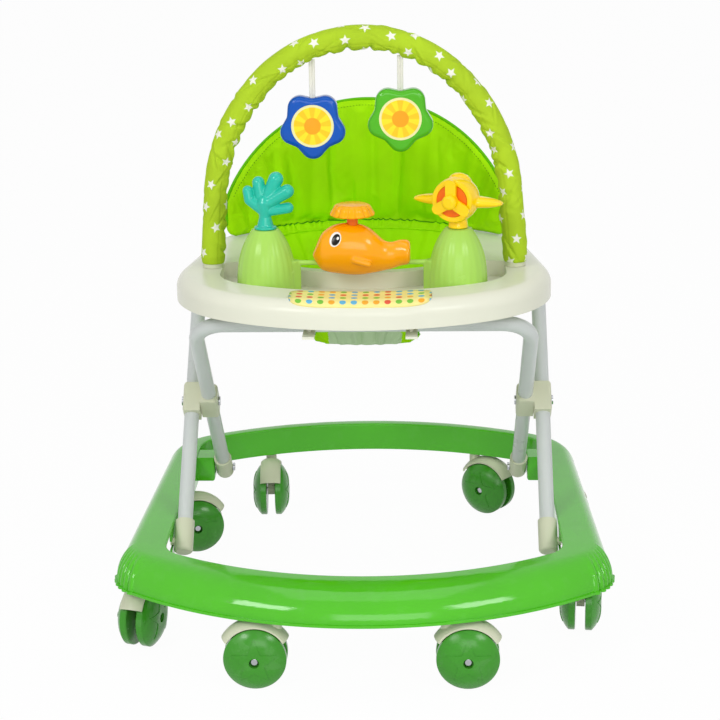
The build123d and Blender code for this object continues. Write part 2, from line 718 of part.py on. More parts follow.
def make_tray_shell():
    """The moulded tray: rounded edge, hollow below, toy recess, seat opening and arch sockets."""
    height = TRAY_TOP_Z - TRAY_LIP_Z
    tray = extrude(Pos(0, 0, TRAY_LIP_Z) * tray_plan(0), height)
    tray = fillet(tray.faces().sort_by(Axis.Z)[-1].edges(), TRAY_EDGE_ROUND)
    hollow = extrude(Pos(0, 0, TRAY_LIP_Z) * tray_plan(TRAY_WALL), height - TRAY_WALL)
    hollow = fillet(hollow.faces().sort_by(Axis.Z)[-1].edges(), TRAY_EDGE_ROUND - TRAY_WALL)
    floor_z = RECESS_FLOOR_Z - TRAY_WALL
    hollow -= extrude(Pos(0, 0, floor_z) * recess_plan(TRAY_WALL), height)
    rim_z = TRAY_TOP_Z - SEAT_RIM_DEPTH
    hollow -= extrude(Pos(0, 0, rim_z) * seat_rim(TRAY_WALL), SEAT_RIM_DEPTH)
    socket_radius = PLUG_RADIUS + RUNNING
    socket_bottom = TRAY_TOP_Z - PLUG_LENGTH - TRAY_WALL
    for side in (-1, 1):
        x = side * ARCH_HALF_WIDTH
        hollow -= upright(socket_radius + SOCKET_WALL, x, ARCH_Y, socket_bottom, TRAY_TOP_Z)
    tray -= hollow
    tray -= extrude(Pos(0, 0, RECESS_FLOOR_Z) * recess_plan(0), RECESS_DEPTH)
    tray -= extrude(Pos(0, 0, TRAY_LIP_Z) * seat_rim(0), height)
    for side in (-1, 1):
        x = side * ARCH_HALF_WIDTH
        tray -= upright(socket_radius, x, ARCH_Y, TRAY_TOP_Z - PLUG_LENGTH - GAP, TRAY_TOP_Z)
    panel = RectangleRounded(LABEL_PANEL_WIDTH, LABEL_PANEL_LENGTH, LABEL_PANEL_LENGTH / 4)
    panel_z = TRAY_TOP_Z - LABEL_PANEL_DEPTH
    tray -= extrude(Pos(0, LABEL_PANEL_Y, panel_z) * panel, LABEL_PANEL_DEPTH)
    for turn in (-BOARD_TAB_TURN, BOARD_TAB_TURN):
        tray -= board_tab(turn, BOARD_POCKET, TRAY_TOP_Z)
    return tray


def make_bar_guide():
    """A runner under the tray's front, along which the rear leg tube's bar slides when it folds."""
    runner_z = BAR_HEIGHT_Z + TUBE_RADIUS + GAP
    recess_y = RECESS_FRONT_Y + RECESS_BOW - sqrt(RECESS_BOW**2 - GUIDE_X**2)
    step_y = recess_y - 2 * TRAY_WALL
    web_x = (GUIDE_X - GUIDE_WEB / 2, GUIDE_X + GUIDE_WEB / 2)
    guide = block(web_x, (GUIDE_WEB_FRONT_Y, step_y), (runner_z, TRAY_TOP_Z - TRAY_WALL))
    guide += block(web_x, (step_y, GUIDE_REAR_Y), (runner_z, RECESS_FLOOR_Z - TRAY_WALL))
    flange_x = (GUIDE_X - GUIDE_FLANGE / 2, GUIDE_X + GUIDE_FLANGE / 2)
    return guide + block(flange_x, (GUIDE_FRONT_Y, GUIDE_REAR_Y), (runner_z, runner_z + GUIDE_FLANGE_THICK))


def make_bar_clip():
    """A bearing block under the tray's rear, round the front leg tube's bar."""
    half = CLIP_WIDTH / 2
    clip = along_x(CLIP_RADIUS, CLIP_X - half, CLIP_X + half, REAR_FOOT_Y, BAR_HEIGHT_Z)
    y_range = (REAR_FOOT_Y - CLIP_RADIUS, REAR_FOOT_Y + CLIP_RADIUS)
    clip += block((CLIP_X - half, CLIP_X + half), y_range, (BAR_HEIGHT_Z, TRAY_TOP_Z - TRAY_WALL))
    bore_end = CLIP_X + CLIP_WIDTH
    return clip - along_x(TUBE_RADIUS + RUNNING, 0, bore_end, REAR_FOOT_Y, BAR_HEIGHT_Z)


def sling_ring(ring, inset):
    """One level of the sling: a plan whose corners are gathered into soft folds."""
    z, front_y, rear_y, half_width, front_corner, rear_corner, fold = ring
    plan = bowed_plan(
        front_y + inset,
        rear_y - inset,
        half_width - inset,
        half_width - inset,
        (front_corner - inset, rear_corner - inset),
        (SEAT_RIM_FRONT_BOW, SEAT_RIM_REAR_BOW),
        flutes=SLING_FOLDS,
        rear_flutes=SLING_FOLDS,
        depth=fold,
    )
    return Pos(0, 0, z + inset) * plan


def sling_form(inset):
    """The sling as one mass, from the tray's rim down to the seat."""
    top = (
        TRAY_TOP_Z - SLING_TOP_DROP,
        SEAT_RIM_FRONT_Y + GAP,
        SEAT_RIM_REAR_Y - GAP,
        SEAT_RIM_HALF_WIDTH - GAP,
        SEAT_RIM_FRONT_CORNER - GAP,
        SEAT_RIM_REAR_CORNER - GAP,
        0,
    )
    return loft([sling_ring(ring, inset) for ring in (top, *SLING_RINGS)], ruled=True)


def make_seat_sling():
    """The cloth seat: a gathered bucket that hangs in the seat opening, with two leg holes."""
    sling = sling_form(0) - sling_form(SLING_WALL)
    hole = Cylinder(LEG_HOLE_RADIUS, 2 * LEG_HOLE_RADIUS, rotation=(90, 0, 0))
    for side in (-1, 1):
        sling -= Pos(side * LEG_HOLE_X, LEG_HOLE_Y, LEG_HOLE_Z) * Rot(0, 0, side * LEG_HOLE_TURN) * hole
    return sling


def back_height(turn):
    """Height of the backrest at an angle round the seat: a half ellipse seen from the front."""
    x = BACK_RADIUS * sin(radians(turn))
    return BACK_HEIGHT * sqrt(1 - (x / BACK_SPAN) ** 2)


def back_plane(turn, z):
    """Upright plane through the backrest's centre line: x outwards, y up."""
    angle = radians(turn)
    outwards = (sin(angle), cos(angle), 0)
    return Plane((0, BACK_CENTRE_Y, z), x_dir=outwards, z_dir=(cos(angle), -sin(angle), 0))


def back_section(turn):
    """Crowned section of the backrest pad, soft at its edges."""
    top = back_height(turn)
    inner = BACK_RADIUS - BACK_EDGE_HALF
    outer = BACK_RADIUS + BACK_EDGE_HALF
    low = BACK_EDGE_ROUND
    high = top - BACK_EDGE_ROUND
    face = make_face(
        [
            ThreePointArc((inner, low), (BACK_RADIUS, 0), (outer, low)),
            ThreePointArc((outer, low), (outer + BACK_REAR_CROWN, top / 2), (outer, high)),
            ThreePointArc((outer, high), (BACK_RADIUS, top), (inner, high)),
            ThreePointArc((inner, high), (inner - BACK_FRONT_CROWN, top / 2), (inner, low)),
        ]
    )
    return back_plane(turn, TRAY_TOP_Z + GAP) * face


def board_form(grow, bottom):
    """The curved stiffening board, grown on every side: part of an upright cylinder wall."""
    half = BOARD_THICK / 2 + grow
    reach = BOARD_HEIGHT + grow
    wall = Circle(BACK_RADIUS + half) - Circle(BACK_RADIUS - half)
    board = extrude(Pos(0, BACK_CENTRE_Y, bottom) * wall, TRAY_TOP_Z + reach - bottom)
    outline = Ellipse(BOARD_HALF_WIDTH + grow, reach)
    outline_plane = Plane((0, 0, TRAY_TOP_Z), x_dir=(1, 0, 0), z_dir=(0, -1, 0))
    return board & extrude(outline_plane * outline, -2 * BACK_RADIUS)


def board_tab(turn, grow, top):
    """One tab of the stiffening board, down into the tray."""
    thick = BOARD_THICK + 2 * grow
    tab = Box(BOARD_TAB_WIDTH + 2 * grow, thick, BOARD_TAB_DEPTH + grow)
    middle_z = top - (BOARD_TAB_DEPTH + grow) / 2
    return Pos(0, BACK_CENTRE_Y, middle_z) * Rot(0, 0, -turn) * Pos(0, BACK_RADIUS, 0) * tab


def make_backrest_board():
    """The stiffener that stands inside the pad, with its two tabs."""
    board = board_form(0, TRAY_TOP_Z + GAP)
    for turn in (-BOARD_TAB_TURN, BOARD_TAB_TURN):
        board += board_tab(turn, 0, TRAY_TOP_Z + BOARD_TAB_RISE)
    return board


def make_backrest_pad():
    """The half-round padded backrest, with a pocket for its board open at the bottom."""
    span = 2 * BACK_HALF_TURN / (BACK_SECTIONS - 1)
    turns = [span * index - BACK_HALF_TURN for index in range(BACK_SECTIONS)]
    pad = loft([back_section(turn) for turn in turns])
    pad -= board_form(BOARD_POCKET, TRAY_TOP_Z)
    for turn in (-BOARD_TAB_TURN, BOARD_TAB_TURN):
        pad -= board_tab(turn, BOARD_POCKET, TRAY_TOP_Z + BOARD_TAB_RISE + BOARD_POCKET)
    return pad


def dome_solid(inset):
    """A bell-shaped dome, drawn in by a wall."""
    foot = (DOME_RADIUS - inset, 0)
    waist = (DOME_MID_RADIUS - inset, DOME_WAIST_SHARE * DOME_HEIGHT - inset)
    head = (DOME_TOP_RADIUS - inset, DOME_HEIGHT - inset)
    profile = make_face(
        [
            ThreePointArc(foot, waist, head),
            Polyline(head, (0, head[1]), (0, 0), foot),
        ]
    )
    dome = revolve(Plane.XZ * profile, Axis.Z)
    return Pos(DOME_X, TOY_Y, RECESS_FLOOR_Z) * dome


def make_toy_bridge():
    """Two hollow domes with posts beside them, joined by a round bar."""
    side = dome_solid(0)
    post_x = (POST_INNER_X, POST_INNER_X + POST_WIDTH)
    post_y = (TOY_Y - POST_DEPTH / 2, TOY_Y + POST_DEPTH / 2)
    side += block(post_x, post_y, (RECESS_FLOOR_Z, BAR_Z + BAR_RADIUS))
    side -= dome_solid(DOME_WALL)
    bore_bottom = DOME_TOP_Z - PIVOT_PIN_LENGTH
    side -= upright(PIVOT_PIN_RADIUS + RUNNING, DOME_X, TOY_Y, bore_bottom, DOME_TOP_Z)
    bridge = side + mirror(side, about=Plane.YZ)
    return bridge + along_x(BAR_RADIUS, -POST_INNER_X, POST_INNER_X, TOY_Y, BAR_Z)


def finger(start, end, root_radius, tip_radius):
    """A club-shaped coral finger with a round tip."""
    start = Vector(*start)
    reach = Vector(*end) - start
    plane = Plane(start, z_dir=reach)
    stem = plane * Pos(0, 0, reach.length / 2) * Cone(root_radius, tip_radius, reach.length)
    return stem + Pos(*end) * Sphere(tip_radius)


def make_coral():
    """The coral toy: a collar, a trunk and a fan of fingers, on a pin in the left dome."""
    coral = upright(CORAL_COLLAR_RADIUS, 0, 0, GAP, GAP + CORAL_COLLAR_THICK)
    coral += upright(CORAL_TRUNK_RADIUS, 0, 0, GAP, CORAL_TRUNK_LENGTH)
    coral += Pos(0, 0, CORAL_TRUNK_LENGTH) * Sphere(CORAL_TRUNK_RADIUS)
    for start, end, root_radius, tip_radius in CORAL_FINGERS:
        coral += finger(start, end, root_radius, tip_radius)
    coral += upright(PIVOT_PIN_RADIUS, 0, 0, GAP - PIVOT_PIN_LENGTH + GAP, GAP + CORAL_COLLAR_THICK)
    return Pos(-DOME_X, TOY_Y, DOME_TOP_Z) * coral


def make_whale():
    """The whale body: oval sections from head to tail, with a bore for the bar and one for the spout."""
    sections = []
    for x, z, half_height, half_depth in WHALE_SECTIONS:
        plane = Plane((x, TOY_Y, z), x_dir=(0, 1, 0), z_dir=(1, 0, 0))
        sections.append(plane * Ellipse(half_depth, half_height))
    whale = loft(sections)
    whale -= along_x(BAR_RADIUS + RUNNING, -POST_INNER_X, POST_INNER_X, TOY_Y, BAR_Z)
    bore_bottom = SPOUT_BOTTOM_Z - SPOUT_STEM_LENGTH - SPOUT_TRAVEL - GAP
    return whale - upright(SPOUT_STEM_RADIUS + RUNNING, SPOUT_X, TOY_Y, bore_bottom, SPOUT_BOTTOM_Z)


def make_spout():
    """The whale's press-down spout: a rounded cap on a stem."""
    cap = Pos(0, 0, SPOUT_HEIGHT / 2) * Cone(SPOUT_RADIUS, SPOUT_TOP_RADIUS, SPOUT_HEIGHT)
    cap = fillet(cap.faces().sort_by(Axis.Z)[-1].edges(), SPOUT_TOP_ROUND)
    cap = fillet(cap.faces().sort_by(Axis.Z)[0].edges(), SPOUT_BOTTOM_ROUND)
    for index in range(SPOUT_SCALLOPS):
        scallop = Pos(SPOUT_RADIUS + SPOUT_SCALLOP_RADIUS / 2, 0, 0) * Cylinder(SPOUT_SCALLOP_RADIUS, SPOUT_HEIGHT)
        cap -= Rot(0, 0, 360 * index / SPOUT_SCALLOPS) * scallop
    stem_top = SPOUT_BOTTOM_Z + SPOUT_HEIGHT / 2
    stem_bottom = SPOUT_BOTTOM_Z - SPOUT_STEM_LENGTH
    stem = upright(SPOUT_STEM_RADIUS, SPOUT_X, TOY_Y, stem_bottom, stem_top)
    return Pos(SPOUT_X, TOY_Y, SPOUT_BOTTOM_Z) * cap + stem


def plane_place():
    """Where the plane toy stands: on the right dome, turned a little to the left."""
    return Pos(DOME_X, TOY_Y, DOME_TOP_Z) * Rot(0, 0, PLANE_TURN)


def nose_axis():
    """The plane toy's nose line at its place, pointing forwards."""
    place = plane_place()
    start = (place * Pos(0, PLANE_NOSE_Y, PLANE_BODY_Z)).position
    ahead = (place * Pos(0, PLANE_NOSE_Y - 1, PLANE_BODY_Z)).position
    return start, ahead - start


def make_plane_body():
    """The plane toy: fat fuselage with a cowl, one straight wing, a tail fin and a neck."""
    cowl_inner = NOSE_RADIUS + GAP
    floor_y = PLANE_NOSE_Y + NOSE_DEPTH
    hub = PROP_SHAFT_RADIUS + RUNNING
    profile = make_face(
        [
            Polyline(
                (0, PLANE_TAIL_Y),
                (0, floor_y),
                (cowl_inner, floor_y),
                (cowl_inner, PLANE_NOSE_Y),
                (PLANE_COWL_RADIUS, PLANE_NOSE_Y),
            ),
            ThreePointArc(
                (PLANE_COWL_RADIUS, PLANE_NOSE_Y),
                (PLANE_BODY_RADIUS, PLANE_FULLEST_Y),
                (PLANE_TAIL_RADIUS, PLANE_TAIL_Y),
            ),
            Line((PLANE_TAIL_RADIUS, PLANE_TAIL_Y), (0, PLANE_TAIL_Y)),
        ]
    )
    body = Pos(0, 0, PLANE_BODY_Z) * revolve(profile, Axis.Y)
    wing = extrude(SlotOverall(PLANE_WING_SPAN, PLANE_WING_CHORD), PLANE_WING_THICK / 2, both=True)
    wing = fillet(wing.edges(), PLANE_WING_ROUND)
    body += Pos(0, 0, PLANE_BODY_Z) * wing
    fin = extrude(SlotOverall(PLANE_FIN_HEIGHT, PLANE_FIN_CHORD), PLANE_FIN_THICK / 2, both=True)
    fin = fillet(fin.edges(), PLANE_FIN_ROUND)
    fin_y = PLANE_TAIL_Y - PLANE_FIN_CHORD / 2
    body += Pos(0, fin_y, PLANE_BODY_Z + PLANE_FIN_HEIGHT / 2) * Rot(0, 90, 0) * fin
    neck = Pos(0, 0, PLANE_BODY_Z / 4 + GAP) * Cone(PLANE_NECK_RADIUS, PLANE_NECK_TOP_RADIUS, PLANE_BODY_Z / 2)
    body += neck
    body += upright(PIVOT_PIN_RADIUS, 0, 0, 2 * GAP - PIVOT_PIN_LENGTH, PLANE_BODY_Z / 2)
    bore_depth = PROP_SHAFT_LENGTH
    bore = Cylinder(hub, bore_depth, rotation=(90, 0, 0))
    body -= Pos(0, floor_y + bore_depth / 2, PLANE_BODY_Z) * bore
    return plane_place() * body


def make_plane_nose():
    """The round disc inside the cowl, with a hole for the propeller shaft."""
    disc = Cylinder(NOSE_RADIUS, NOSE_DEPTH - GAP) - Cylinder(PROP_SHAFT_RADIUS + RUNNING, NOSE_DEPTH)
    middle_y = PLANE_NOSE_Y + (NOSE_DEPTH + GAP) / 2
    return plane_place() * Pos(0, middle_y, PLANE_BODY_Z) * Rot(90, 0, 0) * disc


def make_propeller():
    """Three round-ended blades and a domed hub on a shaft."""
    blade = SlotOverall(2 * PROP_BLADE_LENGTH, PROP_BLADE_WIDTH) & Pos(PROP_BLADE_LENGTH, 0) * Rectangle(
        2 * PROP_BLADE_LENGTH, 2 * PROP_BLADE_WIDTH
    )
    blades = Circle(PROP_HUB_RADIUS)
    for index in range(PROP_BLADES):
        blades += Rot(0, 0, 90 + 360 * index / PROP_BLADES) * blade
    propeller = extrude(blades, PROP_BLADE_THICK)
    hub = Cylinder(PROP_HUB_RADIUS, PROP_HUB_LENGTH)
    hub = fillet(hub.faces().sort_by(Axis.Z)[-1].edges(), PROP_HUB_RADIUS / 2)
    propeller += Pos(0, 0, PROP_HUB_LENGTH / 2) * hub
    shaft_length = PROP_SHAFT_LENGTH + NOSE_DEPTH - 2 * GAP
    propeller += Pos(0, 0, -shaft_length / 2) * Cylinder(PROP_SHAFT_RADIUS, shaft_length)
    front = Plane((0, PLANE_NOSE_Y - 2 * GAP, PLANE_BODY_Z), x_dir=(1, 0, 0), z_dir=(0, -1, 0))
    return plane_place() * (front * propeller)


def arch_path(bottom):
    """Centre line of the arch from a height on one side to the same height on the other."""
    left = Vector(-ARCH_HALF_WIDTH, ARCH_Y, ARCH_SPRING_Z)
    right = Vector(ARCH_HALF_WIDTH, ARCH_Y, ARCH_SPRING_Z)
    top = Vector(0, ARCH_Y, ARCH_SPRING_Z + ARCH_HALF_WIDTH)
    slant = ARCH_HALF_WIDTH * sqrt(0.5)
    left_mid = Vector(-slant, ARCH_Y, ARCH_SPRING_Z + slant)
    right_mid = Vector(slant, ARCH_Y, ARCH_SPRING_Z + slant)
    return Wire(
        [
            Line(Vector(left.X, ARCH_Y, bottom), left),
            ThreePointArc(left, left_mid, top),
            ThreePointArc(top, right_mid, right),
            Line(right, Vector(right.X, ARCH_Y, bottom)),
        ]
    )


COLLAR_BOTTOM_Z = TRAY_TOP_Z + GAP
COLLAR_TOP_Z = COLLAR_BOTTOM_Z + PLUG_COLLAR_THICK


def strap_top(star):
    """Point of the arch's centre line over a star."""
    x, _ = star
    return Vector(x, ARCH_Y, ARCH_SPRING_Z + sqrt(ARCH_HALF_WIDTH**2 - x**2))


def make_arch_rod():
    """The bent rod inside the arch."""
    path = arch_path(COLLAR_TOP_Z - PLUG_SOCKET_DEPTH)
    return sweep(Plane(path @ 0, z_dir=path % 0) * Circle(ARCH_ROD_RADIUS), path=path)


def make_arch_sleeve():
    """The padded cloth sleeve round the rod, slit below where the straps come out."""
    path = arch_path(COLLAR_TOP_Z)
    ring = Circle(SLEEVE_PAD_RADIUS) - Circle(STRAP_LOOP_RADIUS + STRAP_THICK + GAP)
    sleeve = sweep(Plane(path @ 0, z_dir=path % 0) * ring, path=path)
    half_width = STRAP_WIDTH / 2 + GAP
    half_depth = STRAP_THICK + GAP
    for star in (BLUE_STAR, GREEN_STAR):
        top = strap_top(star)
        sleeve -= block(
            (top.X - half_width, top.X + half_width),
            (ARCH_Y - half_depth, ARCH_Y + half_depth),
            (top.Z - 2 * SLEEVE_PAD_RADIUS, top.Z),
        )
    return sleeve


def make_arch_plug():
    """An end fitting: a collar on the tray, a peg in its socket and a hole for the rod."""
    x = ARCH_HALF_WIDTH
    plug = upright(PLUG_COLLAR_RADIUS, x, ARCH_Y, COLLAR_BOTTOM_Z, COLLAR_TOP_Z)
    plug += upright(PLUG_RADIUS, x, ARCH_Y, TRAY_TOP_Z - PLUG_LENGTH, COLLAR_BOTTOM_Z)
    rod_bottom = COLLAR_TOP_Z - PLUG_SOCKET_DEPTH
    return plug - upright(ARCH_ROD_RADIUS + RUNNING, x, ARCH_Y, rod_bottom, COLLAR_TOP_Z)


def star_face(inset):
    """A five-lobed star with soft tips and notches, one notch upwards."""
    points = []
    for index in range(10):
        radius = STAR_NOTCH_RADIUS if index % 2 == 0 else STAR_TIP_RADIUS
        angle = radians(90 + 36 * index)
        points.append((radius * cos(angle), radius * sin(angle)))
    star = make_face(Polyline(*points, close=True))
    tips = [vertex for vertex in star.vertices() if Vector(vertex).length > STAR_NOTCH_RADIUS + 1]
    star = fillet(tips, STAR_TIP_ROUND)
    notches = star.vertices().filter_by(lambda vertex: abs(Vector(vertex).length - STAR_NOTCH_RADIUS) < 0.01)
    star = fillet(notches, STAR_NOTCH_ROUND)
    return offset(star, -inset) if inset else star


def star_plane(star):
    """Front-facing plane through the middle of a hanging star."""
    x, z = star
    return Plane((x, ARCH_Y, z), x_dir=(1, 0, 0), z_dir=(0, -1, 0))


def strap_slot(grow):
    """The room for a strap's end in a star, open upwards, in the star's own plane."""
    bottom = STAR_NOTCH_RADIUS - STRAP_INTO_STAR - grow
    width = STRAP_WIDTH / 2 + grow
    depth = STRAP_THICK + grow
    return block((-width, width), (bottom, STAR_TIP_RADIUS), (-depth, depth))


def make_star_half(star, front):
    """Half of a hollow rattle star, with a seat for the face disc in the front one."""
    half = extrude(star_face(0), STAR_HALF_THICK)
    half = fillet(half.faces().sort_by(Axis.Z)[-1].edges(), STAR_EDGE_ROUND)
    half -= extrude(star_face(STAR_WALL), STAR_HALF_THICK - 2 * STAR_WALL)
    half -= strap_slot(GAP)
    if front:
        half -= Pos(0, 0, STAR_HALF_THICK - STAR_DISC_THICK / 2) * Cylinder(STAR_DISC_RADIUS, STAR_DISC_THICK)
        return star_plane(star) * half
    return star_plane(star) * mirror(half, about=Plane.XY)


def make_star_disc(star):
    """The round face disc in its seat."""
    radius = STAR_DISC_RADIUS - RUNNING
    disc = Pos(0, 0, STAR_HALF_THICK - STAR_DISC_THICK / 2) * Cylinder(radius, STAR_DISC_THICK)
    return star_plane(star) * disc


def strap_exit_z(star):
    """Height at which a strap leaves the sleeve's lower side."""
    top = strap_top(star)
    slope = (top.Z - ARCH_SPRING_Z) / ARCH_HALF_WIDTH
    return top.Z - (SLEEVE_PAD_RADIUS + GAP) / slope


def make_strap_loop(star):
    """The hidden end of a strap: a loop round the arch rod and two plies out of the sleeve."""
    top = strap_top(star)
    across = Vector(top.Z - ARCH_SPRING_Z, 0, -top.X).normalized()
    loop_plane = Plane(top, x_dir=(0, 1, 0), z_dir=across)
    outer = STRAP_LOOP_RADIUS + STRAP_THICK
    loop = loop_plane * extrude(Circle(outer) - Circle(STRAP_LOOP_RADIUS), STRAP_WIDTH / 2, both=True)
    half = STRAP_WIDTH / 2
    plies = block(
        (top.X - half, top.X + half),
        (ARCH_Y - STRAP_THICK, ARCH_Y + STRAP_THICK),
        (strap_exit_z(star), top.Z),
    )
    return loop + (plies - loop_plane * Cylinder(STRAP_LOOP_RADIUS + STRAP_THICK / 2, 4 * STRAP_WIDTH))


def strap_pivot_z(star):
    """Height of the fold line about which a hanging strap swings."""
    return strap_exit_z(star) - GAP - STRAP_THICK


def make_strap(star):
    """The hanging part of a strap: two plies from its fold line down into the star."""
    x, star_z = star
    half = STRAP_WIDTH / 2
    pivot_z = strap_pivot_z(star)
    bottom = star_z + STAR_NOTCH_RADIUS - STRAP_INTO_STAR
    plies = block((x - half, x + half), (ARCH_Y - STRAP_THICK, ARCH_Y + STRAP_THICK), (bottom, pivot_z))
    return plies + along_x(STRAP_THICK, x - half, x + half, ARCH_Y, pivot_z)


def save(name, *shapes):
    """Write one node's solids."""
    solids = [solid for shape in shapes for solid in shape.solids()]
    export_step(solids[0] if len(solids) == 1 else Compound(solids), f"parts/{name}.step")


os.makedirs("parts", exist_ok=True)

save("base_ring", make_base_ring())
save("rear_foot_pins", *both_sides(make_foot_pin()))

hood = make_caster_hood()
wheels = make_wheels()
axle = make_axle()
for caster in CASTERS:
    place = caster_place(caster)
    save(f"{caster}_caster_hood", place * hood)
    save(f"{caster}_caster_wheels", *[place * disc for disc in wheels])
    save(f"{caster}_caster_axle", place * axle)

save("rear_leg_tube", make_leg_tube("rear", REAR_LEG_X, 0))
save("rear_foot_caps", *both_sides(make_foot_cap("rear", REAR_LEG_X)))
save("inner_crossing_sleeves", *both_sides(make_sleeve("rear", REAR_LEG_X, -1, 0)))
save("crossing_rivets", *both_sides(make_rivet()))
save("front_leg_tube", make_leg_tube("front", FRONT_LEG_X, RUNNING))
save("front_foot_caps", *both_sides(make_foot_cap("front", FRONT_LEG_X)))
save("outer_crossing_sleeves", *both_sides(make_sleeve("front", FRONT_LEG_X, 1, RUNNING)))

save("tray_shell", make_tray_shell())
save("bar_guides", *both_sides(make_bar_guide()))
save("rear_bar_clips", *both_sides(make_bar_clip()))
save("seat_sling", make_seat_sling())
save("backrest_pad", make_backrest_pad())
save("backrest_board", make_backrest_board())

save("toy_bridge", make_toy_bridge())
save("coral_toy", make_coral())
save("whale_toy", make_whale())
save("whale_spout", make_spout())
save("plane_toy", make_plane_body())
save("plane_nose", make_plane_nose())
save("plane_propeller", make_propeller())

save("arch_rod", make_arch_rod())
save("arch_sleeve", make_arch_sleeve())
save("arch_plugs", *both_sides(make_arch_plug()))
for colour, star in (("blue", BLUE_STAR), ("green", GREEN_STAR)):
    save(f"{colour}_star_front", make_star_half(star, True))
    save(f"{colour}_star_back", make_star_half(star, False))
    save(f"{colour}_star_disc", make_star_disc(star))
    save(f"{colour}_star_strap", make_strap(star))
save("strap_loops", make_strap_loop(BLUE_STAR), make_strap_loop(GREEN_STAR))

nose_start, nose_ahead = nose_axis()
print("fold pivot", (0, REAR_FOOT_Y, FOOT_Z), "fold range", LEG_ANGLE - FOLDED_ANGLE)
print("crossing", CROSSING_Y, CROSSING_Z, "rear bar", REAR_FOOT_Y, BAR_HEIGHT_Z)
print("propeller axis", nose_start, nose_ahead)
print("strap fold lines", strap_pivot_z(BLUE_STAR), strap_pivot_z(GREEN_STAR))
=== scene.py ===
# %% [markdown]
# # A folding baby walker
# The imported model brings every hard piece: the ring base on its casters, the scissor frame, the tray and
# the hanging stars. This lesson gives those pieces their finishes, makes the soft ones again, which are the
# padded arch sleeve, the straps, the backrest and the seat, and gives the toys fuller skins. Everything is
# in metres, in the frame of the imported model.

import json
from functools import partialmethod
from math import cos, pi, sin

import bmesh
import bpy
import numpy as np
from mathutils import Matrix, Vector
from mathutils.bvhtree import BVHTree


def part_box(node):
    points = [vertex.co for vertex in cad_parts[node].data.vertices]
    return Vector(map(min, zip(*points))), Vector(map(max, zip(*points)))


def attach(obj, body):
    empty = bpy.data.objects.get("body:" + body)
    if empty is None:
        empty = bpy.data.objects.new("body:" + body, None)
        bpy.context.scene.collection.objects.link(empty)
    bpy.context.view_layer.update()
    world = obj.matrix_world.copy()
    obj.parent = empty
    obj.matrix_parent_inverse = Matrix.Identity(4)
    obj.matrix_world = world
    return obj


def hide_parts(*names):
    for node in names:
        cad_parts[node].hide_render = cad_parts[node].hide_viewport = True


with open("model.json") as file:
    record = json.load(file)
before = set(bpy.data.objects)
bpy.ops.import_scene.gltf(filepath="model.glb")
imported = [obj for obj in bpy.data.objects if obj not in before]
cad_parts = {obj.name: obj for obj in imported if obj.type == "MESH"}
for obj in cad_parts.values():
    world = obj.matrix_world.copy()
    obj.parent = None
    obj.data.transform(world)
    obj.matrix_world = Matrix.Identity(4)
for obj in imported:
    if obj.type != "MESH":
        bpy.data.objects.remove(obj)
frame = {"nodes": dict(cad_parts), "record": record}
nodes = frame["nodes"]
slot_of = {part["node"]: part["material_slot"] for part in frame["record"]["subparts"]}
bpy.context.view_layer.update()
rng = np.random.default_rng(7)
scene = bpy.context.scene
scene.view_settings.view_transform = "Standard"

# %% [markdown]
# ## The camera
# The photograph was taken with a long lens from in front, a little above the tray, looking slightly down.
# The place, the three turns and the focal length were fitted once to points whose position on the walker is
# known.

# %% Camera
FOCAL, SENSOR, FAR_END = 92.53, 36, 50
CAMERA_PLACE = Vector((0.0695, -2.2768, 0.9684))
PITCH, YAW, ROLL = 0.2815, -0.0337, -0.0134
forward = Vector((sin(YAW) * cos(PITCH), cos(YAW) * cos(PITCH), -sin(PITCH)))
level_right = Vector((cos(YAW), -sin(YAW), 0))
level_up = level_right.cross(forward)
right = level_right * cos(ROLL) + level_up * sin(ROLL)
up = level_up * cos(ROLL) - level_right * sin(ROLL)
lens = bpy.data.cameras.new("camera")
lens.lens, lens.sensor_width, lens.clip_end = FOCAL, SENSOR, FAR_END
camera = bpy.data.objects.new("camera", lens)
turn = Matrix((right, up, -forward)).transposed().to_4x4()
camera.matrix_world = Matrix.Translation(CAMERA_PLACE) @ turn
scene.collection.objects.link(camera)
scene.camera = camera
print("camera", tuple(camera.location))

# %% [markdown]
# ## Nodes in a few words
# A shader tree is easier to read as sums than as boxes and wires. A Wire is the output of one node that
# takes part in plain arithmetic: each sign in a formula adds one Math node to the tree.

# %% Wires that can be added and multiplied
class Wire:
    """The output of a node; each operation on it adds one node to the same tree."""

    def __init__(self, tree, socket):
        self.tree, self.socket = tree, socket

    def math(self, operation, *others):
        """One Math node: the operation on this value and the others."""
        made = add(self.tree, "ShaderNodeMath", dict(enumerate((self, *others))), operation=operation)
        return Wire(self.tree, made.outputs[0])

    def stretch(self, low, high, to_low, to_high):
        """A Map Range node, clamped."""
        values = dict(enumerate((self, low, high, to_low, to_high)))
        return Wire(self.tree, add(self.tree, "ShaderNodeMapRange", values).outputs[0])

    def parts(self):
        """The three parts of a vector."""
        made = add(self.tree, "ShaderNodeSeparateXYZ", {0: self})
        return [Wire(self.tree, socket) for socket in made.outputs]

    __add__ = partialmethod(math, "ADD")
    __sub__ = partialmethod(math, "SUBTRACT")
    __mul__ = partialmethod(math, "MULTIPLY")
    __truediv__ = partialmethod(math, "DIVIDE")
    __mod__ = partialmethod(math, "FLOORED_MODULO")


def feed(socket, value):
    """Links a wire to a socket, or writes a plain value into it."""
    if isinstance(value, Wire):
        value.tree.links.new(value.socket, socket)
    else:
        socket.default_value = value


def add(tree, kind, values=None, **settings):
    """Adds a node, sets its properties and feeds its inputs, which are given by name or by number."""
    made = tree.nodes.new(kind)
    for name, value in settings.items():
        setattr(made, name, value)
    for key, value in (values or {}).items():
        feed(made.inputs[key], value)
    return made


print("wires ready")

# %% Helpers for shader trees
WHITE = (1, 1, 1, 1)


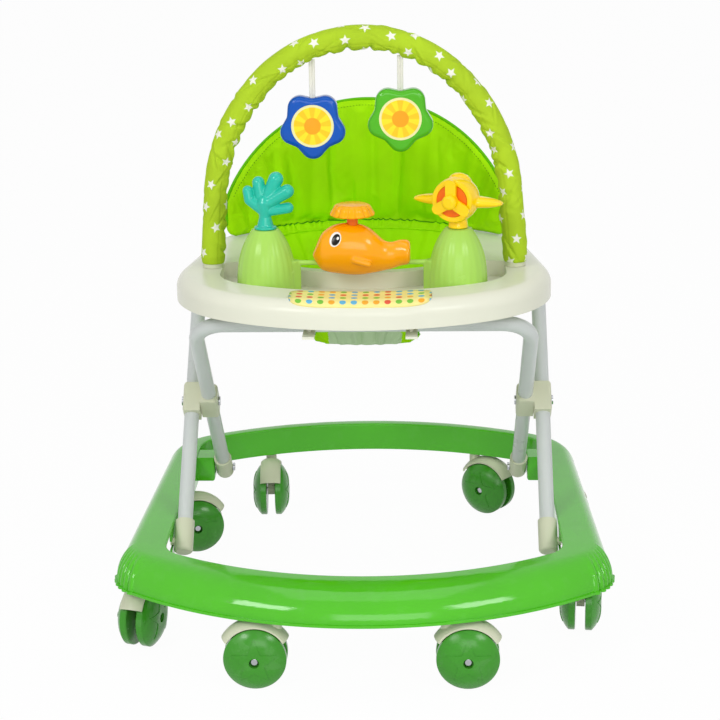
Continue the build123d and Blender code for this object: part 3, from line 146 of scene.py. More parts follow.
def coordinate(tree, kind):
    """One output of the Texture Coordinate node, such as Object or UV."""
    return Wire(tree, add(tree, "ShaderNodeTexCoord").outputs[kind])


def noise(place, scale, detail=2.0):
    """A Noise texture, its value from 0 to 1."""
    made = add(place.tree, "ShaderNodeTexNoise", {"Vector": place, "Scale": scale, "Detail": detail})
    return Wire(place.tree, made.outputs[0])


def distance(side, rise):
    """The distance from the middle: the root of the sum of the two squares."""
    return (side * side + rise * rise).math("SQRT")


def draw(column, row):
    """A White Noise node: the value and the colour drawn for each cell of a grid."""
    tree = column.tree
    cell = add(tree, "ShaderNodeCombineXYZ", {0: column.math("FLOOR"), 1: row.math("FLOOR")})
    values = {"Vector": Wire(tree, cell.outputs[0])}
    made = add(tree, "ShaderNodeTexWhiteNoise", values, noise_dimensions="2D")
    return Wire(tree, made.outputs["Value"]), Wire(tree, made.outputs["Color"])


def grey(value):
    """A grey colour from one value."""
    made = add(value.tree, "ShaderNodeCombineColor", {0: value, 1: value, 2: value})
    return Wire(value.tree, made.outputs[0])


def mix(mode, factor, first, second):
    """One Mix node for colours."""
    tree = next(value.tree for value in (factor, first, second) if isinstance(value, Wire))
    values = {0: factor, 6: first, 7: second}
    return Wire(tree, add(tree, "ShaderNodeMix", values, data_type="RGBA", blend_type=mode).outputs[2])


def linear(colour):
    """A screen colour of 0 to 255 as Blender's linear colour."""
    share = np.array(colour) / 255
    low = share / 12.92
    high = ((share + 0.055) / 1.055) ** 2.4
    return (*np.where(share <= 0.04045, low, high).tolist(), 1.0)


def group_tree(name, inputs, outputs):
    """A new node group: its tree, a function that gives its inputs by name, and its output sockets."""
    kinds = {"Colour": "NodeSocketColor"}
    tree = bpy.data.node_groups.new(name, "ShaderNodeTree")
    for label, value in inputs.items():
        kind = kinds.get(label, "NodeSocketFloat")
        tree.interface.new_socket(label, in_out="INPUT", socket_type=kind).default_value = value
    for label in outputs:
        tree.interface.new_socket(label, in_out="OUTPUT", socket_type=kinds.get(label, "NodeSocketFloat"))
    source = add(tree, "NodeGroupInput")

    def inside(label):
        return Wire(tree, source.outputs[label])

    return tree, inside, add(tree, "NodeGroupOutput").inputs


print("helpers ready")

# %% [markdown]
# ## Moulded plastic
# Injection-moulded plastic is almost one colour, but not quite: it flows a little darker and lighter, its
# gloss changes where hands and floors rub it, and its skin has a fine orange peel. One group gives all
# three, so each material only states its colour, how mottled it is, and how shiny.

# %% Group: moulded skin
CHALK = (0.9, 0.9, 0.88, 1)
moulded_group, inside, outside = group_tree(
    "moulded skin",
    {"Colour": WHITE, "Mottle": 0.05, "Gloss": 0.3, "Rub": 0.1},
    ("Colour", "Roughness", "Height"),
)
place = coordinate(moulded_group, "Object")
cloud = noise(place, 11.0, 3.0).stretch(0.3, 0.7, -1.0, 1.0)
rubbed = noise(place, 55.0, 5.0).stretch(0.55, 0.72, 0.0, 1.0)
toned = mix("MULTIPLY", 1.0, inside("Colour"), grey(cloud * inside("Mottle") + 1.0))
feed(outside["Colour"], mix("MIX", rubbed * (inside("Rub") * 0.25), toned, CHALK))
feed(outside["Roughness"], cloud * 0.03 + rubbed * inside("Rub") + inside("Gloss"))
feed(outside["Height"], noise(place, 420.0))
print("group", moulded_group.name)

# %% [markdown]
# ## Woven cloth
# The covers are a plain weave. Two sets of threads pass over and under each other, which in numbers is a
# checkerboard that picks one of two rounded stripes. The stripes follow the piece's own UV map, kept in
# metres, so the threads bend with the cloth. Each thread is also painted a little darker towards its edges,
# where it
# dips under the next: painted shade of the weave's relief.

# %% Group: woven cloth
woven_group, inside, outside = group_tree(
    "woven cloth",
    {"Colour": WHITE, "Threads": 1500.0, "Fade": 0.08},
    ("Colour", "Roughness", "Height"),
)
across, along, _ = coordinate(woven_group, "UV").parts()
warp, weft = across * inside("Threads"), along * inside("Threads")
checker = (warp.math("FLOOR") + weft.math("FLOOR")) % 2.0
warp_round, weft_round = ((way * pi).math("SINE").math("ABSOLUTE") for way in (warp, weft))
thread = (warp_round - weft_round) * checker + weft_round
patch = noise(coordinate(woven_group, "Object"), 18.0, 4.0).stretch(0.3, 0.7, -1.0, 1.0)
# painted shade: each thread is up to 7 % darker towards its edges, where its rounded stripe dips; the patches
# are random tone
tone = thread * 0.07 + patch * inside("Fade") + 0.93
feed(outside["Colour"], mix("MULTIPLY", 1.0, inside("Colour"), grey(tone)))
feed(outside["Roughness"], patch * 0.06 + 0.62)
feed(outside["Height"], thread)
print("group", woven_group.name)

# %% [markdown]
# ## A print of small stars
# The arch cloth carries a common print of small white stars. In the UV map each star has its own cell; a
# random number per cell moves and turns it. Folding the angle five times makes one straight edge into a
# five-pointed star: a point is inside when it lies below the line from a tip to a notch.

# %% Group: star print
CELL_ROUND, CELL_ALONG, ROW_SHIFT, STRAY = 0.0314, 0.029, 0.37, 0.34
TIP, NOTCH, STAR_POINTS = 0.0066, 0.0031, 5


def cell_offset(position, luck, size):
    """Distance from a cell's own star middle, in metres."""
    return ((luck - 0.5) * STRAY + (position.math("FRACT") - 0.5)) * size


print_group, inside, outside = group_tree("star print", {"Softness": 0.0004}, ("Mask",))
across, along, _ = coordinate(print_group, "UV").parts()
row = along / CELL_ALONG
column = across / CELL_ROUND + row.math("FLOOR") * ROW_SHIFT
side_luck, rise_luck, turn_luck = draw(column, row)[1].parts()
side = cell_offset(column, side_luck, CELL_ROUND)
rise = cell_offset(row, rise_luck, CELL_ALONG)
angle = rise.math("ARCTAN2", side) + turn_luck * (2 * pi)
folded = (angle % (2 * pi / STAR_POINTS) - pi / STAR_POINTS).math("ABSOLUTE")
reach = distance(side, rise)
tip_way, off_way = reach * folded.math("COSINE"), reach * folded.math("SINE")
notch_x, notch_y = NOTCH * cos(pi / STAR_POINTS), NOTCH * sin(pi / STAR_POINTS)
edge = (tip_way - TIP) * notch_y - off_way * (notch_x - TIP)
edge = edge / float(np.hypot(notch_y, notch_x - TIP))
feed(outside["Mask"], edge.stretch(inside("Softness") * -1.0, inside("Softness"), 1.0, 0.0))
print("group", print_group.name)

# %% [markdown]
# ## Finishes for the hard pieces
# Each material slot of the record becomes one material. The tubes are powder coated steel, the pins and
# axles bare steel, and all the rest is moulded plastic of one colour or another.

# %% Materials of plastic and metal
def new_material(name):
    """An empty material, its tree, and its main shader."""
    made = bpy.data.materials.new(name)
    made.use_nodes = True
    return made, made.node_tree, made.node_tree.nodes["Principled BSDF"]


def bump(height, strength, deep):
    """A Bump node: the surface's normal, tilted by a height."""
    values = {"Height": height, "Strength": strength, "Distance": deep}
    return Wire(height.tree, add(height.tree, "ShaderNodeBump", values).outputs[0])


def coat(shader, group, values, bump_strength, bump_depth, **plain):
    """Places a group in a material: its roughness and height go to the shader, its colour is handed back."""
    tree = shader.id_data
    made = add(tree, "ShaderNodeGroup", values, node_tree=group)
    feed(shader.inputs["Roughness"], Wire(tree, made.outputs["Roughness"]))
    feed(shader.inputs["Normal"], bump(Wire(tree, made.outputs["Height"]), bump_strength, bump_depth))
    for label, value in plain.items():
        feed(shader.inputs[label.replace("_", " ")], value)
    return Wire(tree, made.outputs["Colour"])


def moulded(name, colour, gloss=0.22, mottle=0.04, rub=0.03, metallic=0.0, peel=0.06, glow=0.0, shine=0.22):
    """Plastic, paint or bare metal, of one colour or of one that a function works out in the tree."""
    made, tree, shader = new_material(name)
    shown = colour(tree) if callable(colour) else linear(colour)
    values = {"Colour": shown, "Mottle": mottle, "Gloss": gloss, "Rub": rub}
    skin_colour = coat(
        shader,
        moulded_group,
        values,
        peel,
        0.0006,
        Metallic=metallic,
        Specular_IOR_Level=shine,
        Subsurface_Weight=glow,
        Subsurface_Radius=(0.006, 0.006, 0.004),
    )
    feed(shader.inputs["Base Color"], skin_colour)
    return made


FINISHES = {
    "base_green": moulded("glossy green ring", (80, 190, 26), gloss=0.10, rub=0.05, shine=0.4),
    "wheel_green": moulded("green wheel plastic", (60, 148, 34), mottle=0.05, rub=0.12, shine=0.35),
    "cream": moulded("cream fittings", (212, 215, 188), gloss=0.34, mottle=0.03, rub=0.15),
    "tray_ivory": moulded("ivory tray", (228, 229, 211), gloss=0.24, mottle=0.015, rub=0.0),
    "tube_paint": moulded("grey powder coat", (208, 213, 211), gloss=0.3, mottle=0.03, peel=0.12),
    "steel": moulded("bare steel", (176, 178, 182), gloss=0.25, metallic=1.0),
    "board": moulded("stiffening sheet", (112, 172, 22), gloss=0.5),
    "dome_green": moulded("pale green domes", (170, 217, 96), gloss=0.24, glow=0.12),
    "coral_teal": moulded("teal coral", (36, 190, 166), gloss=0.14, glow=0.1, shine=0.35),
    "whale_orange": moulded("orange whale", (255, 168, 0), gloss=0.14, glow=0.1, shine=0.35),
    "plane_yellow": moulded("yellow plane", (255, 214, 2), gloss=0.16, glow=0.1, shine=0.35),
    "nose_orange": moulded("orange nose", (243, 112, 10)),
    "arch_rod": moulded("plain rod", (230, 230, 225), gloss=0.35),
    "star_blue": moulded("blue star", (0, 84, 186), gloss=0.10, shine=0.3),
    "star_green": moulded("green star", (82, 184, 30), gloss=0.10, shine=0.3),
}
print("finishes", len(FINISHES))

# %% [markdown]
# ## Printed faces
# The star discs carry a plain sun: a pale border, soft rays and a warm middle. The deck sticker is a field
# of coloured dots. The whale's spout is moulded on a deeper orange stem. All three are colours that change
# with the place, so they are worked out from Object coordinates, or from the UV map on the sticker.

# %% Materials with a print
SUN_RAYS, SUN_MIDDLE, SUN_BORDER, PRINT_EDGE = 9.0, 0.0100, 0.0228, 0.0004
STEM_TOP = 0.518
DOT_WIDE, DOT_HIGH = 0.0130, 0.0136
DOT_COLOURS = ((0.0, (232, 88, 62)), (0.25, (96, 178, 216)), (0.5, (122, 196, 64)), (0.75, (246, 172, 44)))


def sun_face(disc):
    """Colour of a star disc: border, rays and middle, by distance and angle from the disc's middle."""
    low, high = (np.array(corner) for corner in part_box(disc))
    middle_x, _, middle_z = (low + high) / 2

    def colour(tree):
        x, _, z = coordinate(tree, "Object").parts()
        side, rise = x - middle_x, z - middle_z
        far = distance(side, rise)
        ray = (rise.math("ARCTAN2", side) * SUN_RAYS).math("SINE").stretch(-0.2, 0.2, 0.0, 1.0)
        core = far.stretch(SUN_MIDDLE, SUN_MIDDLE + PRINT_EDGE, 1.0, 0.0)
        border = far.stretch(SUN_BORDER, SUN_BORDER + PRINT_EDGE, 0.0, 1.0)
        shown = mix("MIX", ray, linear((250, 228, 44)), linear((249, 206, 36)))
        shown = mix("MIX", core, shown, linear((246, 168, 30)))
        return mix("MIX", border, shown, linear((238, 234, 172)))

    return colour


def stem_colour(tree):
    """Colour of the spout: the cap's orange above the stem, a deeper one below."""
    high = coordinate(tree, "Object").parts()[2].stretch(STEM_TOP - PRINT_EDGE, STEM_TOP, 0.0, 1.0)
    return mix("MIX", high, linear((244, 118, 14)), linear((252, 174, 4)))


def dotted(tree):
    """Colour of the deck sticker: dots of four colours on pale yellow, one dot in each cell."""
    across, along, _ = coordinate(tree, "UV").parts()
    column, row = across / DOT_WIDE, along / DOT_HIGH
    ramp = add(tree, "ShaderNodeValToRGB", {0: draw(column, row)[0]})
    ramp.color_ramp.interpolation = "CONSTANT"
    for spot, tint in DOT_COLOURS:
        stop = ramp.color_ramp.elements.new(spot) if spot else ramp.color_ramp.elements[0]
        stop.color = linear(tint)
    ramp.color_ramp.elements.remove(ramp.color_ramp.elements[-1])
    far = distance(column.math("FRACT") - 0.5, row.math("FRACT") - 0.5)
    return mix("MIX", far.stretch(0.27, 0.31, 1.0, 0.0), linear((250, 236, 150)), Wire(tree, ramp.outputs[0]))


STICKER = moulded("dotted sticker", dotted, gloss=0.32)
SPECIAL = {
    "plane_propeller": FINISHES["plane_yellow"],
    "whale_spout": moulded("spout cap and stem", stem_colour, gloss=0.18),
}
for star in ("blue_star", "green_star"):
    SPECIAL[f"{star}_disc"] = moulded(f"{star} face", sun_face(f"{star}_disc"), gloss=0.3)
print("printed finishes", len(SPECIAL) + 1)

# %% [markdown]
# ## Cloth finishes
# The backrest, the seat and its edges are plain weaves of different greens; the arch cloth adds the star
# print. A little sheen lifts the edges of the folds, as light does on real cloth.

# %% Materials of cloth
def woven(name, colour, threads=1400.0, printed=False):
    """A woven cover, with the white star print when printed is true."""
    made, tree, shader = new_material(name)
    shown = coat(
        shader,
        woven_group,
        {"Colour": linear(colour), "Threads": threads, "Fade": 0.07},
        0.12,
        0.0003,
        Specular_IOR_Level=0.1,
        Sheen_Weight=0.06,
        Sheen_Roughness=0.4,
        Sheen_Tint=linear(colour),
    )
    if printed:
        mask = Wire(tree, add(tree, "ShaderNodeGroup", node_tree=print_group).outputs["Mask"])
        shown = mix("MIX", mask, shown, linear((240, 241, 228)))
    feed(shader.inputs["Base Color"], shown)
    return made


BACK_CLOTH = woven("lime backrest cloth", (168, 236, 0))
PIPING_CLOTH = woven("green piping", (104, 196, 6), threads=1100.0)
SEAT_CLOTH = woven("green seat cloth", (164, 232, 0))
PANEL_CLOTH = woven("pale seat panel", (192, 217, 174))
ARCH_CLOTH = woven("star print arch cloth", (176, 209, 44), printed=True)
TAPE = woven("woven tape", (232, 231, 220), threads=900.0)
# one dark green for the real stitches, and for the cord of painted shade along the backrest's foot
THREAD_AND_SEAM_SHADE = woven("sewing thread and painted seam shade", (70, 150, 10), threads=2500.0)
FINISHES.update(seat_cloth=SEAT_CLOTH, back_cloth=BACK_CLOTH, arch_cloth=ARCH_CLOTH, strap_white=TAPE)
print("finishes", len(FINISHES))

# %% [markdown]
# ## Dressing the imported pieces
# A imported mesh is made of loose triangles. A Weld modifier joins them, and an Edge Split keeps the real
# edges sharp while the round faces shade smoothly. The mesh itself stays as it was packed.

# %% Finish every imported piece
WELD_REACH, SHARP_ANGLE = 0.00001, 0.56


def finish_of(name):
    """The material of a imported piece: its own, or that of its material slot."""
    return SPECIAL.get(name) or FINISHES[slot_of[name]]


for name, piece in nodes.items():
    mesh = piece.data
    if "custom_normal" in mesh.attributes:
        mesh.attributes.remove(mesh.attributes["custom_normal"])
    mesh.shade_smooth()
    piece.modifiers.new("weld", "WELD").merge_threshold = WELD_REACH
    piece.modifiers.new("split", "EDGE_SPLIT").split_angle = SHARP_ANGLE
    mesh.materials.clear()
    mesh.materials.append(finish_of(name))
print("dressed", len(nodes))

# %% [markdown]
# ## Surfaces from grids
# Every new piece below is a grid of points: one parameter runs along the rows, one along the columns. Rows
# or columns that close on themselves share their first and last points, while the UV map keeps both, so
# that the weave has no jump except at the seam.

# %% Helpers: arrays of points
def join(*parts):
    """Arrays and plain numbers as the coordinates of points."""
    return np.stack(np.broadcast_arrays(*parts), axis=-1)


def uv_grid(across, along):
    """A UV map with one place across for each column and one place along for each row."""
    return join(*np.meshgrid(across, along))


def turn_steps(count):
    """Angles at even steps of one full turn."""
    return np.linspace(0, 2 * pi, count, endpoint=False)


def unit(vectors):
    """Vectors of the same directions with a length of one."""
    return vectors / np.linalg.norm(vectors, axis=-1, keepdims=True)


def travelled(path):
    """The length gone along a path at each of its points."""
    return np.concatenate([[0], np.cumsum(np.linalg.norm(np.diff(path, axis=0), axis=1))])


def at_stops(stops, gone, rows):
    """Rows of numbers read at new stops, by straight lines between the old ones."""
    return join(*(np.interp(stops, gone, column) for column in rows.T))


def through(rows, count):
    """A smooth curve through rows of numbers: the Catmull-Rom formula at even steps."""
    rows = np.asarray(rows, dtype=float)
    step = np.linspace(0, len(rows) - 1, count)
    index = np.minimum(step.astype(int), len(rows) - 2)
    share = (step - index).reshape(-1, *[1] * (rows.ndim - 1))
    before, start = rows[np.maximum(index - 1, 0)], rows[index]
    end, after = rows[index + 1], rows[np.minimum(index + 2, len(rows) - 1)]
    bend, sway = 2 * before - 5 * start + 4 * end - after, 3 * start - before - 3 * end + after
    return 0.5 * (2 * start + (end - before) * share + bend * share**2 + sway * share**3)


print("array helpers ready")

# %% Helpers: a grid becomes a piece
MERGE_REACH = 1e-6


def outward(mesh, ends=()):
    """Fills the given rings of vertices, merges doubles and turns every face outwards."""
    work = bmesh.new()
    work.from_mesh(mesh)
    work.verts.ensure_lookup_table()
    for ring in ends:
        work.faces.new([work.verts[index] for index in ring])
    bmesh.ops.remove_doubles(work, verts=work.verts, dist=MERGE_REACH)
    bmesh.ops.recalc_face_normals(work, faces=work.faces)
    work.to_mesh(mesh)
    work.free()


def new_piece(name, mesh, finish):
    """Puts a mesh with one finish into the scene."""
    mesh.materials.append(finish)
    made = bpy.data.objects.new(name, mesh)
    scene.collection.objects.link(made)
    print(name, "faces", len(mesh.polygons))
    return made


def quads_over(points, closed):
    """Quads over a grid of points: the row and the column of each corner, then points and faces as lists."""
    rows, columns = points.shape[:2]
    spans = columns if closed else columns - 1
    row, column = np.meshgrid(np.arange(rows - 1), np.arange(spans), indexing="ij")
    row, column = join(row, row, row + 1, row + 1), join(column, column + 1, column + 1, column)
    faces = row * columns + column % columns
    return row, column, points.reshape(-1, 3).tolist(), faces.reshape(-1, 4).tolist()


def grid_piece(name, points, finish, uv=None, closed=False, caps=False):
    """A piece over a grid of points (rows, columns, 3); uv has one more column when the columns close."""
    rows, columns = points.shape[:2]
    row, column, spots, faces = quads_over(points, closed)
    mesh = bpy.data.meshes.new(name)
    mesh.from_pydata(spots, [], faces)
    layer = mesh.uv_layers.new(name="cloth")
    if uv is not None:
        layer.data.foreach_set("uv", uv[row, column].ravel())
    last = range(rows * columns - 1, (rows - 1) * columns - 1, -1)
    outward(mesh, (range(columns), last) if caps else ())
    mesh.shade_smooth()
    return new_piece(name, mesh, finish)


def tube_piece(name, path, radius, finish, body, sides=10):
    """A round tube along a path of points; each section stands across the path's direction."""
    path = np.asarray(path, dtype=float)
    ahead = unit(np.gradient(path, axis=0))
    guide = np.where(np.abs(ahead[:, 2:]) > 0.9, [[0.0, 1.0, 0.0]], [[0.0, 0.0, 1.0]])
    first = unit(np.cross(ahead, guide))
    second = np.cross(ahead, first)
    angle = turn_steps(sides)[:, None]
    ring = first[:, None] * np.cos(angle) + second[:, None] * np.sin(angle)
    uv = uv_grid(np.linspace(0, 2 * pi * radius, sides + 1), travelled(path))
    made = grid_piece(name, path[:, None] + ring * radius, finish, uv, closed=True, caps=True)
    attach(made, body)
    return made


def settle(piece, finish=None):
    """Applies every modifier of a piece to its mesh, and dresses it anew when a finish is given."""
    graph = bpy.context.evaluated_depsgraph_get()
    piece.data = bpy.data.meshes.new_from_object(piece.evaluated_get(graph))
    piece.modifiers.clear()
    if finish:
        piece.data.materials.clear()
        piece.data.materials.append(finish)


def bore(piece, holes, sides):
    """Cuts round holes into a piece; each hole has a radius, a length, a middle and a turn."""
    cutters = []
    for radius, long, middle, turn in holes:
        bpy.ops.mesh.primitive_cylinder_add(
            vertices=sides, radius=radius, depth=long, location=middle, rotation=turn
        )
        cutters.append(bpy.context.object)
        cut = piece.modifiers.new("hole", "BOOLEAN")
        cut.operation, cut.object, cut.solver = "DIFFERENCE", cutters[-1], "EXACT"
    settle(piece)
    for cutter in cutters:
        bpy.data.objects.remove(cutter)
    print(piece.name, "holes", len(holes), "faces", len(piece.data.polygons))


print("piece helpers ready")

# %% [markdown]
# ## The arch sleeve
# The arch is a rod in a padded cloth sleeve. Where the rod bends, the sleeve is too long on the inner side,
# so it gathers there into short creases with soft puffs between them; on the outer side it is pulled
# smooth. The sleeve is a tube along the rod: two posts and half a circle. On the two shoulders its padding
# hangs inwards, so the tube's line leaves the rod's a little there. The radius is a sum of many small
# valleys and swells, each with its own place on the length, its own place round the tube and its own lean,
# which reads as crumpled cloth and never repeats. Even waves would look like a hose.

# %% Arch sleeve: the line that it follows
ARCH_HALF, ARCH_Y, ARCH_SPRING, SLEEVE_FOOT = 0.188, -0.028, 0.535, 0.4455
SLEEVE_RADIUS, SHOULDER_HANG, CORE_RADIUS = 0.0148, 0.0095, 0.006
SLEEVE_ROWS, SLEEVE_SIDES = 960, 80
post, bend = ARCH_SPRING - SLEEVE_FOOT, pi * ARCH_HALF
length = 2 * post + bend
along = np.linspace(0, length, SLEEVE_ROWS)
turned = np.clip((along - post) / ARCH_HALF, 0, pi)
arch_out = join(-np.cos(turned), 0, np.sin(turned))
climb = 1 - np.abs(2 * along / length - 1)
hang = SHOULDER_HANG * np.sin(pi * climb**0.8) ** 2
rise = np.minimum(along, post) - np.maximum(along - post - bend, 0)
centre = (ARCH_HALF - hang)[:, None] * arch_out + join(0, ARCH_Y, SLEEVE_FOOT + rise)
print("sleeve length", round(float(length), 4))

# %% Arch sleeve: creases and puffs
CREASE_END, WRINKLES, WRINKLE_END, BULGES, BULGE_END = 0.014, 90, 0.01, 70, 0.02
STRAP_X, TUCK_X, TUCK_DEEP = (-0.060, 0.047), (-0.018, 0.012), 0.0022
SEAM_ANGLE, SEAM_WIDE, SEAM_DEEP = 1.32 * pi, 0.035, 0.0009
THINNEST, THICKEST, OUTER_MORE = 0.0112, 0.0166, 0.0022
S, A = np.meshgrid(along, turn_steps(SLEEVE_SIDES), indexing="ij")


def angle_from(middle):
    """The angle round the tube from a middle, within half a turn either way."""
    return np.angle(np.exp(1j * (A - middle)))


def dent(spot, middle, lean, width, span):
    """One dent across the tube: a bell along the length that leans with the angle, times a bell round it."""
    away = angle_from(middle)
    return np.exp(-(((S - spot - lean * away) / width) ** 2) - (away / span) ** 2)


radius = np.full_like(S, SLEEVE_RADIUS)
# creases on the inner side, each with a puff behind it
spot = CREASE_END
while spot < length - CREASE_END:
    middle = pi + rng.normal(0, 0.5)
    lean = rng.uniform(-0.010, 0.010)
    deep = rng.uniform(0.0008, 0.0028)
    wide = rng.uniform(0.0022, 0.0052)
    radius -= deep * dent(spot, middle, lean, wide, rng.uniform(0.7, 1.5))
    radius += 0.55 * deep * dent(spot + 2.2 * wide, middle, lean, 1.6 * wide, 1.2)
    spot += rng.uniform(0.009, 0.030)
# slanting wrinkles all round
for _ in range(WRINKLES):
    middle, spot = rng.uniform(0, 2 * pi), rng.uniform(WRINKLE_END, length - WRINKLE_END)
    deep, lean = rng.uniform(0.0008, 0.0020), rng.uniform(-0.035, 0.035)
    radius -= deep * dent(spot, middle, lean, rng.uniform(0.002, 0.0045), rng.uniform(0.4, 0.9))
    radius += 0.6 * deep * dent(spot + 0.006, middle, lean, 0.004, 0.7)
# broad hollows and bulges
for _ in range(BULGES):
    middle, spot = rng.uniform(0, 2 * pi), rng.uniform(BULGE_END, length - BULGE_END)
    high = rng.uniform(-0.0011, 0.0010)
    radius += high * dent(spot, middle, 0.0, rng.uniform(0.012, 0.03), rng.uniform(0.2, 0.5))
# tucks at the straps and between them
for x in (*STRAP_X, *TUCK_X):
    radius -= TUCK_DEEP * dent(along[np.argmin(np.abs(centre[:, 0] - x))], pi, 0.002, 0.0036, 1.5)
# the seam along the tube, and the hem at each end
radius -= SEAM_DEEP * np.exp(-((angle_from(SEAM_ANGLE) / SEAM_WIDE) ** 2))
end_gap = np.minimum(S, length - S)
radius -= 0.0016 * np.exp(-end_gap / 0.0025) - 0.0005 * np.exp(-(((end_gap - 0.010) / 0.003) ** 2))
outer = 0.5 + 0.5 * np.cos(A)
radius = np.clip(radius, THINNEST + OUTER_MORE * outer, THICKEST)
print("sleeve radius", radius.min().round(4), radius.max().round(4))

# %% Arch sleeve: the mesh
around = np.cos(A)[..., None] * arch_out[:, None] + np.sin(A)[..., None] * np.array([0, 1.0, 0])
points = centre[:, None] + radius[..., None] * around
uv = uv_grid(np.linspace(0, 2 * pi * SLEEVE_RADIUS, SLEEVE_SIDES + 1), along)
arch_sleeve = grid_piece("arch_sleeve_cloth", points, ARCH_CLOTH, uv, closed=True, caps=True)
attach(arch_sleeve, "arch")
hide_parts("arch_sleeve", "strap_loops")
arch_core = tube_piece("arch_core", centre[4:-4:8], CORE_RADIUS, FINISHES["arch_rod"], "arch")
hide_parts("arch_rod")

# %% [markdown]
# ## The two straps
# Each star hangs on a tape that is folded lengthwise, so two rounded plies lie side by side with a groove
# between them. The section is two half circles beside each other, front and back, carried down with a
# little slack.

# %% Straps
STRAP_HALF, STRAP_THICK, GROOVE, STRAP_SLACK, STRAP_ROWS = 0.0037, 0.0013, 0.12, 0.0004, 60


def strap_piece(star, x):
    """Two plies side by side: the half thickness at a place u across is a circle over each half width."""
    low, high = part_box(f"{star}_strap")
    u = np.sin(np.linspace(-pi / 2, pi / 2, 41))
    ply = np.sqrt(np.clip(1 - (2 * np.abs(u) - 1) ** 2, 0, 1))
    thick = STRAP_THICK * (GROOVE + (1 - GROOVE) * ply)
    section = np.concatenate([join(u, -thick), join(u, thick)[::-1]])
    heights = np.linspace(high[2] - 0.0002, low[2] + 0.001, STRAP_ROWS)
    slack = STRAP_SLACK * np.sin(np.linspace(0, 3 * pi, STRAP_ROWS))
    section_y = ARCH_Y + section[:, 1] + slack[:, None]
    grid = join(x + STRAP_HALF * section[:, 0], section_y, heights[:, None])
    uv = uv_grid(np.linspace(0, 0.018, len(section) + 1), heights)
    made = grid_piece(f"{star}_tape", grid, TAPE, uv, closed=True, caps=True)
    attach(made, star)
    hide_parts(f"{star}_strap")


for star, x in zip(("blue_star", "green_star"), STRAP_X):
    strap_piece(star, x)

# %% [markdown]
# ## The backrest
# The backrest is a half-round padded panel, curved round the child's back. Its cover hangs in soft upright
# folds from the piped edge, and is drawn together at the foot. The start is two grids over the same
# outline, front and back: the turn round the seat, and the share of the height. Their distance from the
# middle surface is a crown that falls to nothing at the outline, and the front adds valleys that run up
# from the gathered foot.

# %% Backrest: the outline and the first form
BACK_R, BACK_Y, BACK_TURN, BACK_HIGH, BACK_SPAN = 0.234, -0.007, np.radians(53), 0.1715, 0.195
BACK_FOOT, BACK_CORNER, BACK_EDGE = 0.4408, 0.016, 0.0026
FRONT_CROWN, FRONT_FOLD, REAR_CROWN, REAR_FOLD, DEEPEST_FOLD = 0.0066, 0.0068, 0.0038, 0.0008, 1.2
FOLD_END = 0.80


def back_top(turn):
    """Height of the outline at a turn: half an ellipse seen from the front."""
    return BACK_HIGH * np.sqrt(1 - np.clip(BACK_R * np.sin(turn) / BACK_SPAN, -0.999, 0.999) ** 2)


def back_lift(turn):
    """How far the lower outline rises towards the two ends: a quarter circle at each corner."""
    past = np.clip(BACK_CORNER - BACK_R * (BACK_TURN - np.abs(turn)), 0, BACK_CORNER)
    return BACK_CORNER - np.sqrt(BACK_CORNER**2 - past**2)


def back_point(turn, share, out):
    """A point of the backrest: turn, share of the height, distance out from the middle surface."""
    spread = BACK_R + out
    low = back_lift(turn)
    height = BACK_FOOT + low + share * (back_top(turn) - low)
    return join(spread * np.sin(turn), BACK_Y + spread * np.cos(turn), height)


T, H = np.meshgrid(np.linspace(-BACK_TURN, BACK_TURN, 200), np.linspace(0, 1, 80), indexing="ij")
crown = (1 - np.abs(2 * H - 1) ** 3.2) ** 0.5 * (1 - np.abs(T / BACK_TURN) ** 12) ** 0.5
valleys = np.zeros_like(T)
spot = -FOLD_END
while spot < FOLD_END:
    width, fall, drift = rng.uniform(0.014, 0.032), rng.uniform(0.5, 1.6), rng.uniform(-0.05, 0.05)
    valleys += rng.uniform(0.4, 1.0) * np.exp(-(((T - spot - drift * H) / width) ** 2)) * (1 - H) ** fall
    spot += rng.uniform(0.07, 0.16)
valleys = np.clip(valleys, 0, DEEPEST_FOLD)
front = back_point(T, H, -BACK_EDGE - crown * (FRONT_CROWN - FRONT_FOLD * valleys))
rear = back_point(T, H, BACK_EDGE + crown * (REAR_CROWN - REAR_FOLD * valleys))
both = np.concatenate([front, rear[:, ::-1]], axis=1)
backrest = grid_piece("backrest_cover", both, BACK_CLOTH, closed=True, caps=True)

# %% [markdown]
# ### Letting the cover swell
# The first form is too regular. Blender's cloth solver puffs the cover between its sewn outline and the
# valleys: a voxel remesh gives even faces, the outline is pinned, a negative shrink gives the cloth a
# little more length than the form has, and a light pressure fills it. Twenty frames are enough. No point
# may move further than a cap, so the pad keeps to its place.

# %% Backrest: swell the cover
COVER_VOXEL, SWELL_FRAMES, SWELL_CAP = 0.0042, 20, 0.008
CLOTH_SETTINGS = {
    "quality": 6,
    "mass": 0.25,
    "tension_stiffness": 18,
    "compression_stiffness": 18,
    "bending_stiffness": 0.4,
    "use_pressure": True,
    "uniform_pressure_force": 3.0,
    "shrink_min": -0.05,
    "vertex_group_mass": "sewn",
}


def mesh_points(mesh):
    """The vertex positions as an array."""
    flat = np.empty(len(mesh.vertices) * 3)
    mesh.vertices.foreach_get("co", flat)
    return flat.reshape(-1, 3)


def sewn_edge(points):
    """True near the outline, where the two covers are sewn together."""
    turn = np.arctan2(points[:, 0], points[:, 1] - BACK_Y)
    near_top = points[:, 2] > BACK_FOOT + back_top(turn) - 0.006
    near_foot = points[:, 2] < BACK_FOOT + back_lift(turn) + 0.005
    return near_top | near_foot | (np.abs(turn) > BACK_TURN - 0.02)


